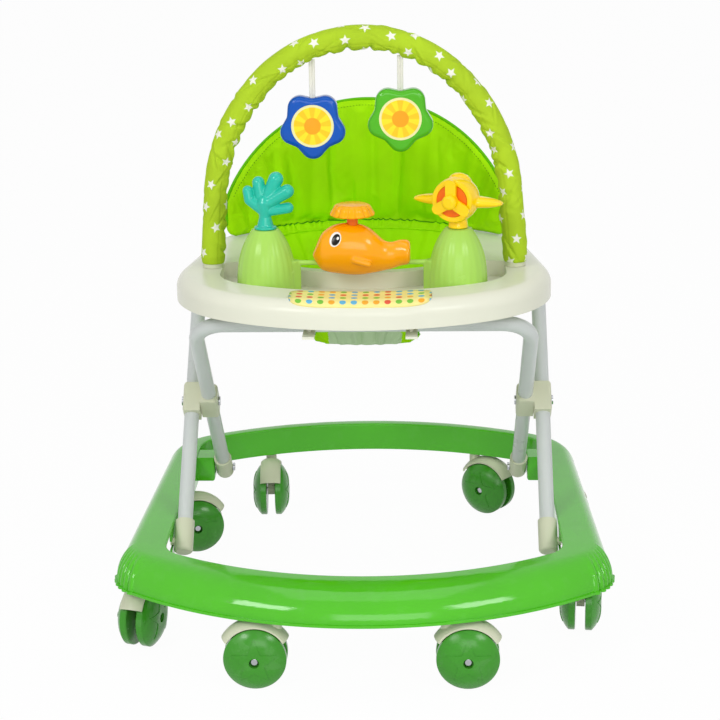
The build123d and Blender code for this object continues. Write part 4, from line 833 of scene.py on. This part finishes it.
def swell(piece, pinned):
    """Remeshes a closed cover, pins part of it, swells it as cloth and keeps the result."""
    remesh = piece.modifiers.new("remesh", "REMESH")
    remesh.mode, remesh.voxel_size, remesh.use_smooth_shade = "VOXEL", COVER_VOXEL, True
    settle(piece, piece.data.materials[0])
    start = mesh_points(piece.data)
    sewn = np.flatnonzero(pinned(start)).tolist()
    piece.vertex_groups.new(name="sewn").add(sewn, 1.0, "REPLACE")
    cloth = piece.modifiers.new("cloth", "CLOTH")
    for label, value in CLOTH_SETTINGS.items():
        setattr(cloth.settings, label, value)
    cloth.settings.effector_weights.gravity = 0
    for step in range(1, SWELL_FRAMES + 1):
        scene.frame_set(step)
    swollen = mesh_points(piece.evaluated_get(bpy.context.evaluated_depsgraph_get()).data)
    piece.modifiers.clear()
    scene.frame_set(1)
    moved = swollen - start
    reach = np.linalg.norm(moved, axis=1, keepdims=True)
    moved *= np.minimum(1, SWELL_CAP / np.maximum(reach, 1e-9))
    piece.data.vertices.foreach_set("co", (start + moved).ravel())
    piece.data.update()
    print(piece.name, "points", len(start), "pinned", len(sewn), "furthest", float(reach.max().round(4)))


swell(backrest, sewn_edge)

# %% Backrest: weave and rounding
mesh = backrest.data
spots = mesh_points(mesh)
corner = np.empty(len(mesh.loops), dtype=np.int32)
mesh.loops.foreach_get("vertex_index", corner)
weave = join(BACK_R * np.arctan2(spots[:, 0], spots[:, 1] - BACK_Y), spots[:, 2])[corner]
layer = mesh.uv_layers[0] if mesh.uv_layers else mesh.uv_layers.new(name="cloth")
layer.data.foreach_set("uv", weave.ravel())
mesh.shade_smooth()
soften = backrest.modifiers.new("soften", "SUBSURF")
soften.levels = soften.render_levels = 1
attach(backrest, "tray")
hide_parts("backrest_pad")
print("backrest faces", len(mesh.polygons))

# %% [markdown]
# ## Piping and stitches
# A corded edge runs round the backrest where the two covers meet, and a row of stitches holds it. The cord
# is a tube on the outline. Each stitch is a short rounded bar of a few faces, set at even steps along its
# line.

# %% Backrest piping
PIPING_RADIUS, PIPING_LOW, PIPING_HIGH = 0.0022, 0.06, 0.97
rise = np.linspace(PIPING_LOW, PIPING_HIGH, 14)
rim = back_point(np.linspace(-BACK_TURN, BACK_TURN, 260), 1.0, 0.0)
edge_line = [back_point(-BACK_TURN, rise, 0.0), rim, back_point(BACK_TURN, rise[::-1], 0.0)]
tube_piece("backrest_piping", np.concatenate(edge_line), PIPING_RADIUS, PIPING_CLOTH, "tray")

# %% Backrest stitches
STITCH_STEP, STITCH_LONG, STITCH_THICK, STITCH_INSET, STITCH_END = 0.0042, 0.0028, 0.0004, 0.0075, 0.03
# one stitch: its corners along, across and above the line, and its faces
STITCH_FORM = np.array(
    [(-1, 0, -0.3), (-0.6, 1, 0.5), (-0.6, -1, 0.5), (0.6, 1, 0.5), (0.6, -1, 0.5), (1, 0, -0.3), (0, 0, 1.2)]
)
STITCH_TOP = [(0, 2, 6), (2, 4, 6), (4, 5, 6), (5, 3, 6), (3, 1, 6), (1, 0, 6)]
STITCH_FACES = np.array([*STITCH_TOP, (0, 1, 2), (1, 3, 4), (1, 4, 2), (3, 5, 4)])


def stitch_row(name, path, normal, body):
    """Stitches at even steps along a path, lying on its surface normals."""
    gone = travelled(path)
    stops = np.arange(STITCH_STEP, gone[-1] - STITCH_STEP, STITCH_STEP)
    middle, lift = at_stops(stops, gone, path), unit(at_stops(stops, gone, normal))
    way = unit(np.gradient(middle, axis=0))
    axes = (way * STITCH_LONG / 2, np.cross(way, lift) * STITCH_THICK, lift * STITCH_THICK)
    grid = middle[:, None] + sum(axis[:, None] * STITCH_FORM[:, [k]] for k, axis in enumerate(axes))
    faces = np.arange(len(stops))[:, None, None] * len(STITCH_FORM) + STITCH_FACES
    mesh = bpy.data.meshes.new(name)
    mesh.from_pydata(grid.reshape(-1, 3).tolist(), [], faces.reshape(-1, 3).tolist())
    mesh.uv_layers.new(name="cloth")
    outward(mesh)
    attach(new_piece(name, mesh, THREAD_AND_SEAM_SHADE), body)


stitch_turn = np.linspace(STITCH_END - BACK_TURN, BACK_TURN - STITCH_END, 240)
stitch_share = 1 - STITCH_INSET / back_top(stitch_turn)
inside_line = back_point(stitch_turn, stitch_share, -0.03)
towards = back_point(stitch_turn, stitch_share, 0.0) - inside_line
cover_tree = BVHTree.FromObject(backrest, bpy.context.evaluated_depsgraph_get())
hits = [cover_tree.ray_cast(Vector(start), Vector(way)) for start, way in zip(inside_line, towards)]
hits = [hit for hit in hits if hit[0] is not None]
stitch_row("backrest_stitches", *(np.array([hit[item] for hit in hits]) for item in (0, 1)), "tray")

# %% [markdown]
# ## The seat
# The seat is a cloth bucket sewn to the edge of the tray's opening. Its corners are gathered, its front has
# a pale panel between the legs, and each leg has a bound hole. The bucket is a plan curve that changes with
# depth: the rings are the same bowed outlines that the solid model uses, blended smoothly from one to the
# next, with folds that grow and fade on the way down.

# %% Seat cloth: bowed outlines as arrays
COUNT, ARC_POINTS = 288, 40
FRONT_BOW, REAR_BOW = 0.171, 0.218
# height, front, rear, half width, front corner and rear corner of each ring, from the rim down
RINGS = (
    (0.4395, -0.0507, 0.2097, 0.1237, 0.0947, 0.0597),
    (0.402, -0.046, 0.150, 0.112, 0.084, 0.060),
    (0.366, -0.034, 0.106, 0.092, 0.060, 0.050),
    (0.337, -0.020, 0.082, 0.064, 0.028, 0.032),
)


def arc_points(x, y, radius, start, end):
    """Points on an arc from one angle to another."""
    way = np.linspace(start, end, ARC_POINTS)
    return join(x + radius * np.cos(way), y + radius * np.sin(way))


def bowed_outline(front_y, rear_y, half, front_corner, rear_corner):
    """The closed outline with bowed ends and round corners, at even steps from the front middle."""
    fx, rx = half - front_corner, half - rear_corner
    fy = front_y + FRONT_BOW - np.sqrt((FRONT_BOW - front_corner) ** 2 - fx**2)
    ry = rear_y - REAR_BOW + np.sqrt((REAR_BOW - rear_corner) ** 2 - rx**2)
    front_way = np.arctan2(fy - front_y - FRONT_BOW, fx)
    rear_way = np.arctan2(ry - rear_y + REAR_BOW, rx)
    arcs = (
        arc_points(0, front_y + FRONT_BOW, FRONT_BOW, -pi / 2, front_way),
        arc_points(fx, fy, front_corner, front_way, 0),
        arc_points(rx, ry, rear_corner, 0, rear_way),
        arc_points(0, rear_y - REAR_BOW, REAR_BOW, rear_way, pi / 2),
    )
    half_line = np.concatenate(arcs)
    line = np.concatenate([half_line, half_line[::-1] * [-1, 1]])
    gone = travelled(line)
    return at_stops(np.linspace(0, gone[-1], COUNT, endpoint=False), gone, line)


levels = np.array([ring[0] for ring in RINGS])
outlines = np.stack([bowed_outline(*ring[1:]) for ring in RINGS])
print("seat rings", outlines.shape)

# %% Seat cloth: the bucket
WALL_ROWS, FLOOR_ROWS, FLOOR_Y = 70, 22, 0.031
FOLD_DEEP, FOLD_START, PUCKER_DEEP, PUCKER_FADE, FLOOR_SAG = 0.0030, 0.12, 0.0009, 6, 0.0016
depth = np.linspace(0, len(RINGS) - 1, WALL_ROWS)[:, None]
heights = np.interp(depth, np.arange(len(RINGS)), levels)
turn = turn_steps(COUNT)
pleats = np.sin(22 * turn + 1.1 * np.sin(3 * turn)) + 0.5 * np.sin(41 * turn + 1.7)
puckers = np.sin(60 * turn + 1.5 * np.sin(7 * turn)) - 1
belly = 0.4 + 0.6 * np.sin(pi * (depth / depth[-1])) ** 0.8
folds = FOLD_DEEP * belly * np.clip(depth / FOLD_START, 0, 1) * pleats
folds = folds + PUCKER_DEEP * np.exp(-depth * PUCKER_FADE) * puckers
walls = through(outlines, WALL_ROWS)
walls = walls + unit(walls - walls.mean(axis=1, keepdims=True)) * folds[..., None]
shrink = np.linspace(1, 0.02, FLOOR_ROWS)[1:, None]
sag = levels[-1] - FLOOR_SAG * np.sin(np.linspace(0, pi / 2, FLOOR_ROWS - 1))[:, None]
floor_x, floor_y = walls[-1, :, 0] * shrink, FLOOR_Y + (walls[-1, :, 1] - FLOOR_Y) * shrink
seat_points = np.concatenate([join(walls[..., 0], walls[..., 1], heights), join(floor_x, floor_y, sag)])
seat_uv = uv_grid(np.linspace(0, 0.72, COUNT + 1), travelled(seat_points[:, 0]))
seat = grid_piece("seat_cloth", seat_points, SEAT_CLOTH, seat_uv, closed=True)
cloth_tree = BVHTree.FromPolygons(*quads_over(seat_points, closed=True)[2:])
print("seat depth", float(levels[0] - levels[-1]))

# %% [markdown]
# ### Leg holes
# The two leg holes are cut with round cutters, square to the cloth, after the cloth has its thickness. The
# front panel takes the paler cloth: its faces are those between the two holes, below the tray.

# %% Seat cloth: panel, thickness and leg holes
PANEL_HALF, PANEL_REAR, PANEL_TOP, PANEL_FLOOR, SEAT_THICK = 0.046, 0.066, 0.412, 0.3375, 0.0018
HOLE_RADIUS, HOLE_DEEP, HOLE_TURN = 0.035, 0.07, np.radians(52)
HOLE_MIDDLES = {-1: Vector((-0.088, 0.0, 0.376)), 1: Vector((0.088, 0.0, 0.376))}
face_middle = np.empty(len(seat.data.polygons) * 3)
seat.data.polygons.foreach_get("center", face_middle)
x, y, z = face_middle.reshape(-1, 3).T
panel = (np.abs(x) < PANEL_HALF) & (((y < PANEL_REAR) & (z < PANEL_TOP)) | (z < PANEL_FLOOR))
seat.data.materials.append(PANEL_CLOTH)
seat.data.polygons.foreach_set("material_index", panel.astype(np.int32))
solid = seat.modifiers.new("thickness", "SOLIDIFY")
solid.thickness, solid.offset = SEAT_THICK, -1
holes = [(HOLE_RADIUS, HOLE_DEEP, spot, (pi / 2, 0, hand * HOLE_TURN)) for hand, spot in HOLE_MIDDLES.items()]
bore(seat, holes, sides=64)
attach(seat, "tray")
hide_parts("seat_sling")

# %% [markdown]
# ### The skirt
# Behind the opening the seat's cloth runs on over the tray's edge and up to the foot of the backrest, where
# it is gathered into the seam. The skirt is a grid between two lines: the seat's rim, and the backrest's
# foot at the same turn. Sharp puckers grow towards the seam. A thin dark green cord along the seam is painted
# shade:
# it stands for the shadow in the crease where the skirt meets the backrest.

# %% Seat skirt
SKIRT_REACH, SKIRT_COLUMNS, SKIRT_ROWS, SKIRT_THICK = 46, 460, 26, 0.0012
SEAM_SHARE, SEAM_OUT, OVER_EDGE, SKIRT_PUCKER, SEAM_SHADE_CORD_RADIUS = 0.035, -0.0062, 0.0034, 0.0024, 0.0011
rear_rim = seat_points[1][COUNT // 2 - SKIRT_REACH : COUNT // 2 + SKIRT_REACH + 1]
stops = np.linspace(0, len(rear_rim) - 1, SKIRT_COLUMNS)
rear_rim = at_stops(stops, np.arange(len(rear_rim)), rear_rim)
foot_line = back_point(np.arctan2(rear_rim[:, 0], rear_rim[:, 1] - BACK_Y), SEAM_SHARE, SEAM_OUT)
U, V = np.meshgrid(np.arange(SKIRT_COLUMNS), np.linspace(0, 1, SKIRT_ROWS), indexing="ij")
skirt_points = rear_rim[:, None] * (1 - V[..., None]) + foot_line[:, None] * V[..., None]
pucker = 1 - np.abs(np.sin(U * 0.145 + 2.1 * np.sin(U * 0.033) + 0.9 * np.sin(U * 0.091)))
skirt_points[..., 2] += OVER_EDGE * np.sin(pi * np.clip(V * 1.15, 0, 1)) ** 0.7
skirt_points[..., 2] += SKIRT_PUCKER * pucker * np.sin(pi * np.clip(0.15 + 0.75 * V, 0, 1))
skirt = grid_piece("seat_skirt", skirt_points, SEAT_CLOTH, join(U * 0.0005, 0.03 * V))
solid = skirt.modifiers.new("thickness", "SOLIDIFY")
solid.thickness, solid.offset = SKIRT_THICK, -1
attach(skirt, "tray")
# painted shade: a dark green cord laid along the seam, for the shadow in the crease at the backrest's foot
seam_shade_line = skirt_points[4:-4, -2] + join(0, -0.0006, 0.0010 * pucker[4:-4, 0])
painted_seam_shade = tube_piece("backrest_painted_seam_shade", seam_shade_line, SEAM_SHADE_CORD_RADIUS, THREAD_AND_SEAM_SHADE, "tray", sides=8)

# %% [markdown]
# ### Bindings
# A bound edge runs round each leg hole and along the tray's opening. Each is a thin tube; the leg binding
# follows the place where the hole's cylinder meets the bucket, which is found by shooting rays at the
# cloth.

# %% Seat bindings
BINDING_RADIUS, RIM_RADIUS, RAY_START = 0.0022, 0.0015, 0.06
for label, hand in (("left", -1), ("right", 1)):
    aim = Vector((-hand * sin(HOLE_TURN), cos(HOLE_TURN), 0))
    side_way = Vector((cos(HOLE_TURN), hand * sin(HOLE_TURN), 0))
    ring = [side_way * cos(angle) + Vector((0, 0, 1)) * sin(angle) for angle in turn_steps(64)]
    starts = [HOLE_MIDDLES[hand] + way * HOLE_RADIUS - aim * RAY_START for way in ring]
    hits = [cloth_tree.ray_cast(start, aim)[0] for start in starts]
    found = [tuple(hit) for hit in hits if hit is not None]
    loop = np.array(found + found[:2])
    tube_piece(f"leg_binding_{label}", loop, BINDING_RADIUS, PIPING_CLOTH, "tray")
rim_loop = np.concatenate([seat_points[1], seat_points[1][:2]]) + [0, 0, 0.0002]
rim_binding = tube_piece("seat_rim_binding", rim_loop, RIM_RADIUS, SEAT_CLOTH, "tray")

# %% [markdown]
# ## The toys
# The toys are soft-edged mouldings. Each is a few plain shells, such as tapered limbs, turned forms and
# rows of ovals, under one skin: a voxel remesh fuses the shells, and a little smoothing rounds the grooves
# between them, as the fillets of a mould do. Sizes are in millimetres, measured from the place where the
# toy stands.

# %% Helpers: shells under one skin
MM = 0.001
TOY_Y, DOME_X, BAR_Z, CLEAR = -94.0, 116.0, 460.0, 0.3
DOME_FOOT, DOME_TOP = (corner[2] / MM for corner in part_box("toy_bridge"))
UPRIGHT, SHELL_SIDES = (0, 0, 1), 96


def ovals(middles, first, second, half_first, half_second, sides=SHELL_SIDES):
    """A shell of ovals round a row of middles, each with its own two half axes."""
    angle = turn_steps(sides)[None, :, None]
    wide, high = np.asarray(half_first)[:, None, None], np.asarray(half_second)[:, None, None]
    round_way = wide * np.cos(angle) * np.array(first) + high * np.sin(angle) * np.array(second)
    return np.asarray(middles)[:, None] + round_way


def turned_form(foot, way, heights, radii):
    """A turned form: circles of the given radii at heights along a direction."""
    way = unit(np.asarray(way, dtype=float))
    first = unit(np.cross(way, (0, 1, 0) if abs(way[2]) > 0.9 else UPRIGHT))
    return ovals(np.asarray(foot) + np.outer(heights, way), first, np.cross(way, first), radii, radii)


def limb(start, end, root, tip):
    """A tapered limb with round ends: half a circle at each end and a cone between."""
    way = np.subtract(end, start)
    lean = np.linspace(0.03, pi / 2, 10)
    heights = np.concatenate([-root * np.cos(lean), np.linalg.norm(way) + tip * np.cos(lean[::-1])])
    return turned_form(start, way, heights, np.concatenate([root * np.sin(lean), tip * np.sin(lean[::-1])]))


def fluted(shell, middle, factor):
    """Draws each column of an upright shell in towards its axis, by its own factor."""
    shell[..., :2] = middle + (shell[..., :2] - middle) * factor[:, None]
    return shell


def skin(name, shells, voxel, rounds, body, node):
    """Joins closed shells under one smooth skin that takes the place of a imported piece."""
    finish = finish_of(node)
    joined = bmesh.new()
    for number, shell in enumerate(shells):
        part = grid_piece(f"{name}_{number}", shell * MM, finish, closed=True, caps=True)
        joined.from_mesh(part.data)
        bpy.data.objects.remove(part)
    mesh = bpy.data.meshes.new(name)
    joined.to_mesh(mesh)
    joined.free()
    made = new_piece(name, mesh, finish)
    fuse = made.modifiers.new("fuse", "REMESH")
    fuse.mode, fuse.voxel_size = "VOXEL", voxel * MM
    ease = made.modifiers.new("ease", "SMOOTH")
    ease.factor, ease.iterations = 0.5, rounds
    settle(made, finish)
    made.data.shade_smooth()
    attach(made, body)
    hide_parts(node)
    return made


print("toy helpers ready")

# %% Toy bridge: two domes, their posts and the bar
DOME_WIDE, DOME_HEAD, DOME_FLUTES, FLUTE_DEPTH = 36.0, 16.0, 24, 0.016
POST_X, POST_HALF, BAR_RADIUS = 82.0, 7.0, 3.0


def dome(side):
    """A full bell: the radius falls slowly from the foot to the shoulder, then turns in to the head."""
    high = DOME_TOP - DOME_FOOT
    rise = high * np.sin(np.linspace(0, 1, 40) * pi / 2) ** 0.8
    radii = DOME_HEAD + (DOME_WIDE - DOME_HEAD) * (1 - (rise / high) ** 3.2)
    shell = turned_form((side * DOME_X, TOY_Y, DOME_FOOT), UPRIGHT, rise, radii)
    flute = 1 - FLUTE_DEPTH * np.abs(np.cos(DOME_FLUTES / 2 * turn_steps(SHELL_SIDES))) ** 5
    return fluted(shell, (side * DOME_X, TOY_Y), flute)


shells = [dome(-1), dome(1)]
for side in (-1, 1):
    middles = join(side * POST_X, TOY_Y, np.array([DOME_FOOT, BAR_Z + BAR_RADIUS]))
    shells.append(ovals(middles, (POST_HALF, 0, 0), (0, POST_HALF, 0), [1.2, 1.2], [1.4, 1.4], sides=4))
shells.append(turned_form((-POST_X, TOY_Y, BAR_Z), (1, 0, 0), [0, 2 * POST_X], [BAR_RADIUS, BAR_RADIUS]))
skin("toy_bridge_skin", shells, 1.1, 3, "tray", "toy_bridge")

# %% Coral
# root, tip and the two radii of each finger, from the foot of the coral
CORAL_FINGERS = (
    ((-5, 1, 25), (-18.5, 3, 35), 7, 6.5),
    ((-18.5, 3, 35), (-20.5, 4, 46), 6.5, 6.2),
    ((-4, 3, 32), (-7.5, 6, 55.5), 7, 7.5),
    ((1, 1, 32), (14, 2, 60), 7.5, 9),
    ((0, -2, 30), (27.5, -4, 46.5), 7, 8.3),
    ((0, -1, 21), (28, -2, 26), 6, 6.6),
)
STALK_HEIGHTS, STALK_RADII = (CLEAR, 3.3, 3.4, 15, 32, 40), (13.5, 13.5, 10, 7, 10.5, 7)
coral_foot = np.array([-DOME_X, TOY_Y, DOME_TOP])
shells = [turned_form(coral_foot, UPRIGHT, STALK_HEIGHTS, STALK_RADII)]
shells += [limb(coral_foot + root, coral_foot + tip, wide, thin) for root, tip, wide, thin in CORAL_FINGERS]
skin("coral_skin", shells, 0.8, 5, "coral", "coral_toy")

# %% Whale
# place along X, height from the bar, half height and half depth of each oval, from head to tail
WHALE_OVALS = (
    (-59.5, 7.5, 1.5, 1.5),
    (-57, 8, 7, 6.5),
    (-49.5, 11, 21, 15),
    (-40.5, 13.5, 27, 19),
    (-31, 15, 30, 21),
    (-17, 15, 31.8, 22),
    (-2, 14, 31, 21.5),
    (9, 12.5, 28, 20),
    (18, 9.5, 23.5, 17),
    (27, 6.5, 18.5, 13.5),
    (36, 6.5, 16.5, 12),
    (46, 9.5, 16, 13),
    (55.5, 10.5, 14.5, 16),
    (58.5, 11, 10.5, 12),
)
WHALE_LIFT = 2.0
x, z, high, deep = through(WHALE_OVALS, 90).T
shells = [ovals(join(x, TOY_Y, BAR_Z + WHALE_LIFT + z), (0, 1, 0), UPRIGHT, deep, high)]
for side in (-1, 1):
    shells.append(limb((-8, TOY_Y + 19.5 * side, BAR_Z + 7), (9, TOY_Y + 21.5 * side, BAR_Z + 2), 4.6, 3.4))
whale = skin("whale_skin", shells, 1.0, 4, "whale", "whale_toy")

# %% Spout, and the whale's bores for the bar and the spout
SPOUT_X, SPOUT_FOOT, SPOUT_STEM, SPOUT_HOLE, STEM_DEEP = -11.0, STEM_TOP / MM, 7.0, 7.4, 26
SPOUT_NOTCHES, NOTCH_DEPTH = 14, 0.07
quarter = np.linspace(0, pi / 2, 8)
cap_radii = np.concatenate([[0.3, 12], 25 + 2.5 * np.sin(quarter), 16 + 8 * np.cos(quarter[1:]), [8, 0.3]])
cap_heights = np.concatenate([[0, 0], 2.5 - 2.5 * np.cos(quarter), 6 + 8 * np.sin(quarter[1:]), [14.4, 14.6]])
cap = turned_form((SPOUT_X, TOY_Y, SPOUT_FOOT), UPRIGHT, cap_heights, cap_radii)
notch = 1 - NOTCH_DEPTH * np.clip(np.cos(SPOUT_NOTCHES * turn_steps(SHELL_SIDES)), 0, 1) ** 2
cap = fluted(cap, (SPOUT_X, TOY_Y), notch)
stem_foot = (SPOUT_X, TOY_Y, SPOUT_FOOT - STEM_DEEP)
stem = turned_form(stem_foot, UPRIGHT, [0, STEM_DEEP + 4], [SPOUT_STEM - 0.6, SPOUT_STEM])
skin("spout_skin", [cap, stem], 0.7, 3, "spout", "whale_spout")
bar_bore = ((BAR_RADIUS + CLEAR) * MM, 200 * MM, Vector((0, TOY_Y, BAR_Z)) * MM, (0, pi / 2, 0))
spout_bore = (SPOUT_HOLE * MM, 60 * MM, Vector((SPOUT_X, TOY_Y, SPOUT_FOOT - 1)) * MM, (0, 0, 0))
bore(whale, [bar_bore, spout_bore], sides=48)

# %% Plane
# place along X, half thickness and half chord of each oval of half the wing, from the tip to the middle
HALF_WING = ((-56, 1.2, 4), (-53, 3, 7), (-42, 5.5, 10.5), (-24, 7, 12.5), (0, 7.5, 13))
PLANE_TURN, PLANE_AXIS, WING_DROP = np.radians(-22), 36.0, 3.0
NOSE_Y, FULLEST_Y, TAIL_Y, FIN_Y = -22.0, -8.0, 34.0, 23
COWL, FULLEST, TAIL, COWL_HOLE, COWL_DEPTH = 25.0, 27.0, 9.0, 19.3, 5.0
body_y = np.linspace(NOSE_Y, TAIL_Y, 30)
body_radii = np.polyval(np.polyfit([NOSE_Y, FULLEST_Y, TAIL_Y], [COWL, FULLEST, TAIL], 2), body_y)
heights = np.concatenate([[NOSE_Y + COWL_DEPTH] * 2, [NOSE_Y], body_y, TAIL_Y + 5 * np.sin(quarter[1:])])
radii = np.concatenate([[0.3, COWL_HOLE], [COWL_HOLE], body_radii, TAIL * np.cos(quarter[1:]) + 0.3])
x, thick, chord = through([*HALF_WING, *((-x, *rest) for x, *rest in HALF_WING[-2::-1])], 60).T
fin_rise = np.array([0, 12, 19, 22.5, 24])
fin_middles = join(0, FIN_Y + 0.1 * fin_rise, PLANE_AXIS + fin_rise)
shells = [
    turned_form((0, 0, PLANE_AXIS), (0, 1, 0), heights, radii),
    limb((0, 3, PLANE_AXIS + 13.5), (0, 5, PLANE_AXIS + 13.4), 17, 16),
    ovals(join(x, 0, PLANE_AXIS - WING_DROP), (0, 1, 0), UPRIGHT, chord, thick),
    ovals(fin_middles, (0, 1, 0), (1, 0, 0), [9, 9, 8.4, 6, 2], [3.5, 3.5, 3.3, 2.4, 1]),
    turned_form((0, 0, CLEAR), UPRIGHT, [0, PLANE_AXIS / 2], [12, 9.6]),
]
turn_cos, turn_sin = cos(PLANE_TURN), sin(PLANE_TURN)
spin = np.array([[turn_cos, -turn_sin, 0], [turn_sin, turn_cos, 0], [0, 0, 1]])
shells = [shell @ spin.T + [DOME_X, TOY_Y, DOME_TOP] for shell in shells]
skin("plane_skin", shells, 0.9, 3, "plane", "plane_toy")

# %% [markdown]
# ## The whale's eyes
# Each eye is a white oval with a dark pupil and a small catchlight, printed on the toy's side. An oval is
# drawn flat as a polar grid, then a Shrinkwrap modifier lays it on the curved body and a Solidify modifier
# gives it a film's thickness. Both are applied, so nothing depends on the body afterwards.

# %% Eyes
EYE_WHITE = moulded("eye white", (245, 245, 240), gloss=0.2, mottle=0.01)
EYE_BLACK = moulded("eye black", (14, 14, 14), gloss=0.15, mottle=0.01)
EYE_X, EYE_Z, EYE_LEAN, EYE_FILM, EYE_AWAY = -0.031, 0.492, np.radians(28), 0.0008, 0.06
EYE_ROWS, EYE_SIDES = 12, 44


def eye_piece(name, hand, shift_x, shift_z, half_wide, half_high, lift, finish):
    """A leaning oval film: (r cos a, r sin a) at reach r and angle a, scaled, turned, laid on the body."""
    reach, angle = np.meshgrid(np.linspace(1, 0.001, EYE_ROWS), turn_steps(EYE_SIDES), indexing="ij")
    flat_x, flat_z = reach * np.cos(angle) * half_wide, reach * np.sin(angle) * half_high
    x = EYE_X + shift_x + flat_x * cos(EYE_LEAN) + flat_z * sin(EYE_LEAN)
    z = EYE_Z + shift_z - flat_x * sin(EYE_LEAN) + flat_z * cos(EYE_LEAN)
    flat_uv = uv_grid(np.linspace(0, 0.01, EYE_SIDES + 1), np.linspace(0, 0.01, EYE_ROWS))
    made = grid_piece(name, join(x, TOY_Y * MM + hand * EYE_AWAY, z), finish, flat_uv, closed=True)
    wrap = made.modifiers.new("lay", "SHRINKWRAP")
    wrap.wrap_method, wrap.target, wrap.offset = "PROJECT", whale, lift
    wrap.use_project_y = True
    wrap.use_positive_direction, wrap.use_negative_direction = hand < 0, hand > 0
    film = made.modifiers.new("film", "SOLIDIFY")
    film.thickness, film.offset = EYE_FILM, 0
    settle(made)
    outward(made.data)
    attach(made, "whale")


for label, hand in (("near", -1), ("far", 1)):
    eye_piece(f"eye_{label}_white", hand, 0, 0, 0.0064, 0.0090, 0.0001, EYE_WHITE)
    eye_piece(f"eye_{label}_pupil", hand, 0.0006, -0.0002, 0.0046, 0.0070, 0.0003, EYE_BLACK)
    eye_piece(f"eye_{label}_light", hand, 0.0030, 0.0016, 0.0014, 0.0018, 0.0005, EYE_WHITE)

# %% [markdown]
# ## The deck sticker
# The front of the deck holds a sticker, which runs a little way over the tray's round front edge. It is
# drawn flat as a polar grid whose rim is a superellipse, the curve between an oval and a rectangle. Its
# second coordinate is then laid along the deck: straight behind the place where the edge begins, and round
# the edge's arc in front.

# %% Deck sticker
STICKER_HALF, STICKER_BACK, STICKER_FRONT, STICKER_FILM = 0.0835, 0.038, 0.015, 0.0009
DECK_TOP, TRAY_FRONT, TRAY_BOW, TRAY_ROUND = 0.440, -0.219, 0.300, 0.017


def squarish(value, power):
    """A sine or cosine raised to a power with its sign kept, which draws a superellipse."""
    return np.sign(value) * np.abs(value) ** power


reach, angle = np.meshgrid([0.001, 0.3, 0.6, 0.85, 1.0, 1.0], turn_steps(120), indexing="ij")
flat_x = STICKER_HALF * reach * squarish(np.cos(angle), 0.25)
flat_v = (STICKER_BACK + STICKER_FRONT) / 2 * reach * squarish(np.sin(angle), 0.4)
flat_v += (STICKER_FRONT - STICKER_BACK) / 2
film = np.array([1, 1, 1, 1, 1, -0.3])[:, None] * STICKER_FILM
edge_y = TRAY_FRONT + TRAY_ROUND + TRAY_BOW - np.sqrt(TRAY_BOW**2 - flat_x**2)
bent = np.maximum(flat_v, 0) / TRAY_ROUND
sticker_y = edge_y - np.minimum(flat_v, 0) - (TRAY_ROUND + film) * np.sin(bent)
sticker_z = DECK_TOP - TRAY_ROUND + (TRAY_ROUND + film) * np.cos(bent)
sticker_uv = join(flat_x, flat_v)
sticker_uv = np.concatenate([sticker_uv, sticker_uv[:, :1]], axis=1)
sticker_points = join(flat_x, sticker_y, sticker_z)
sticker = grid_piece("deck_sticker", sticker_points, STICKER, sticker_uv, closed=True, caps=True)
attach(sticker, "tray")

# %% [markdown]
# ## Floor, backdrop and light
# The photograph is a cut-out on white. A broad floor keeps the walker's shadow, and for the camera it shows
# mostly as white; the world does the same behind. Two soft boxes in front give the long highlights on the
# ring, one lamp above lifts the tray, and a weak even light fills the rest.

# %% Floor and world
FLOOR_SIZE, FLOOR_SHOWN, EVEN_LIGHT = 40, 0.97, 0.40
WHITE_RAYS = ("Camera", "Glossy", "Transmission")


def shown_white(tree, share, lit, white):
    """Mixes two shaders: one that lights the object, and white for what the camera, gloss and glass see."""
    path = add(tree, "ShaderNodeLightPath")
    seen, gloss, glass = (Wire(tree, path.outputs[f"Is {ray} Ray"]) for ray in WHITE_RAYS)
    factor = seen.math("MAXIMUM", gloss.math("MAXIMUM", glass)) * share
    values = {0: factor, 1: Wire(tree, lit.outputs[0]), 2: Wire(tree, white.outputs[0])}
    return Wire(tree, add(tree, "ShaderNodeMixShader", values).outputs[0])


bpy.ops.mesh.primitive_plane_add(size=FLOOR_SIZE, location=(0, 0, 0))
floor_piece = bpy.context.object
floor_piece.name = "floor"
pale, tree, shader = new_material("pale floor")
tree.nodes.remove(shader)
matte = add(tree, "ShaderNodeBsdfDiffuse", {0: (0.86, 0.86, 0.86, 1)})
white = add(tree, "ShaderNodeEmission", {0: WHITE})
feed(tree.nodes["Material Output"].inputs[0], shown_white(tree, FLOOR_SHOWN, matte, white))
floor_piece.data.materials.append(pale)

world = bpy.data.worlds.new("studio")
scene.world = world
world.use_nodes = True
tree = world.node_tree
tree.nodes.clear()
even = add(tree, "ShaderNodeBackground", {0: WHITE, 1: EVEN_LIGHT})
backdrop = add(tree, "ShaderNodeBackground", {0: WHITE, 1: 1.0})
add(tree, "ShaderNodeOutputWorld", {0: shown_white(tree, 1.0, even, backdrop)})
print("floor and world ready")


# %% Lamps
def soft_box(name, spot, aim, wide, high, watts):
    """A rectangular lamp at a spot, turned to a point."""
    lamp = bpy.data.lights.new(name, "AREA")
    lamp.shape, lamp.size, lamp.size_y, lamp.energy = "RECTANGLE", wide, high, watts
    made = bpy.data.objects.new(name, lamp)
    made.location = spot
    made.rotation_euler = (Vector(aim) - Vector(spot)).to_track_quat("-Z", "Y").to_euler()
    scene.collection.objects.link(made)


soft_box("left_box", (-1.5, -2.0, 1.9), (0, 0, 0.35), 0.9, 0.7, 22)
soft_box("right_box", (1.6, -1.9, 1.8), (0, 0, 0.35), 0.9, 0.7, 18)
soft_box("top_box", (0.0, -0.1, 2.6), (0, 0, 0.4), 1.6, 1.6, 9)
soft_box("front_fill", (0.25, -2.9, 1.0), (0, 0, 0.45), 1.6, 1.1, 17)
print("lamps ready")
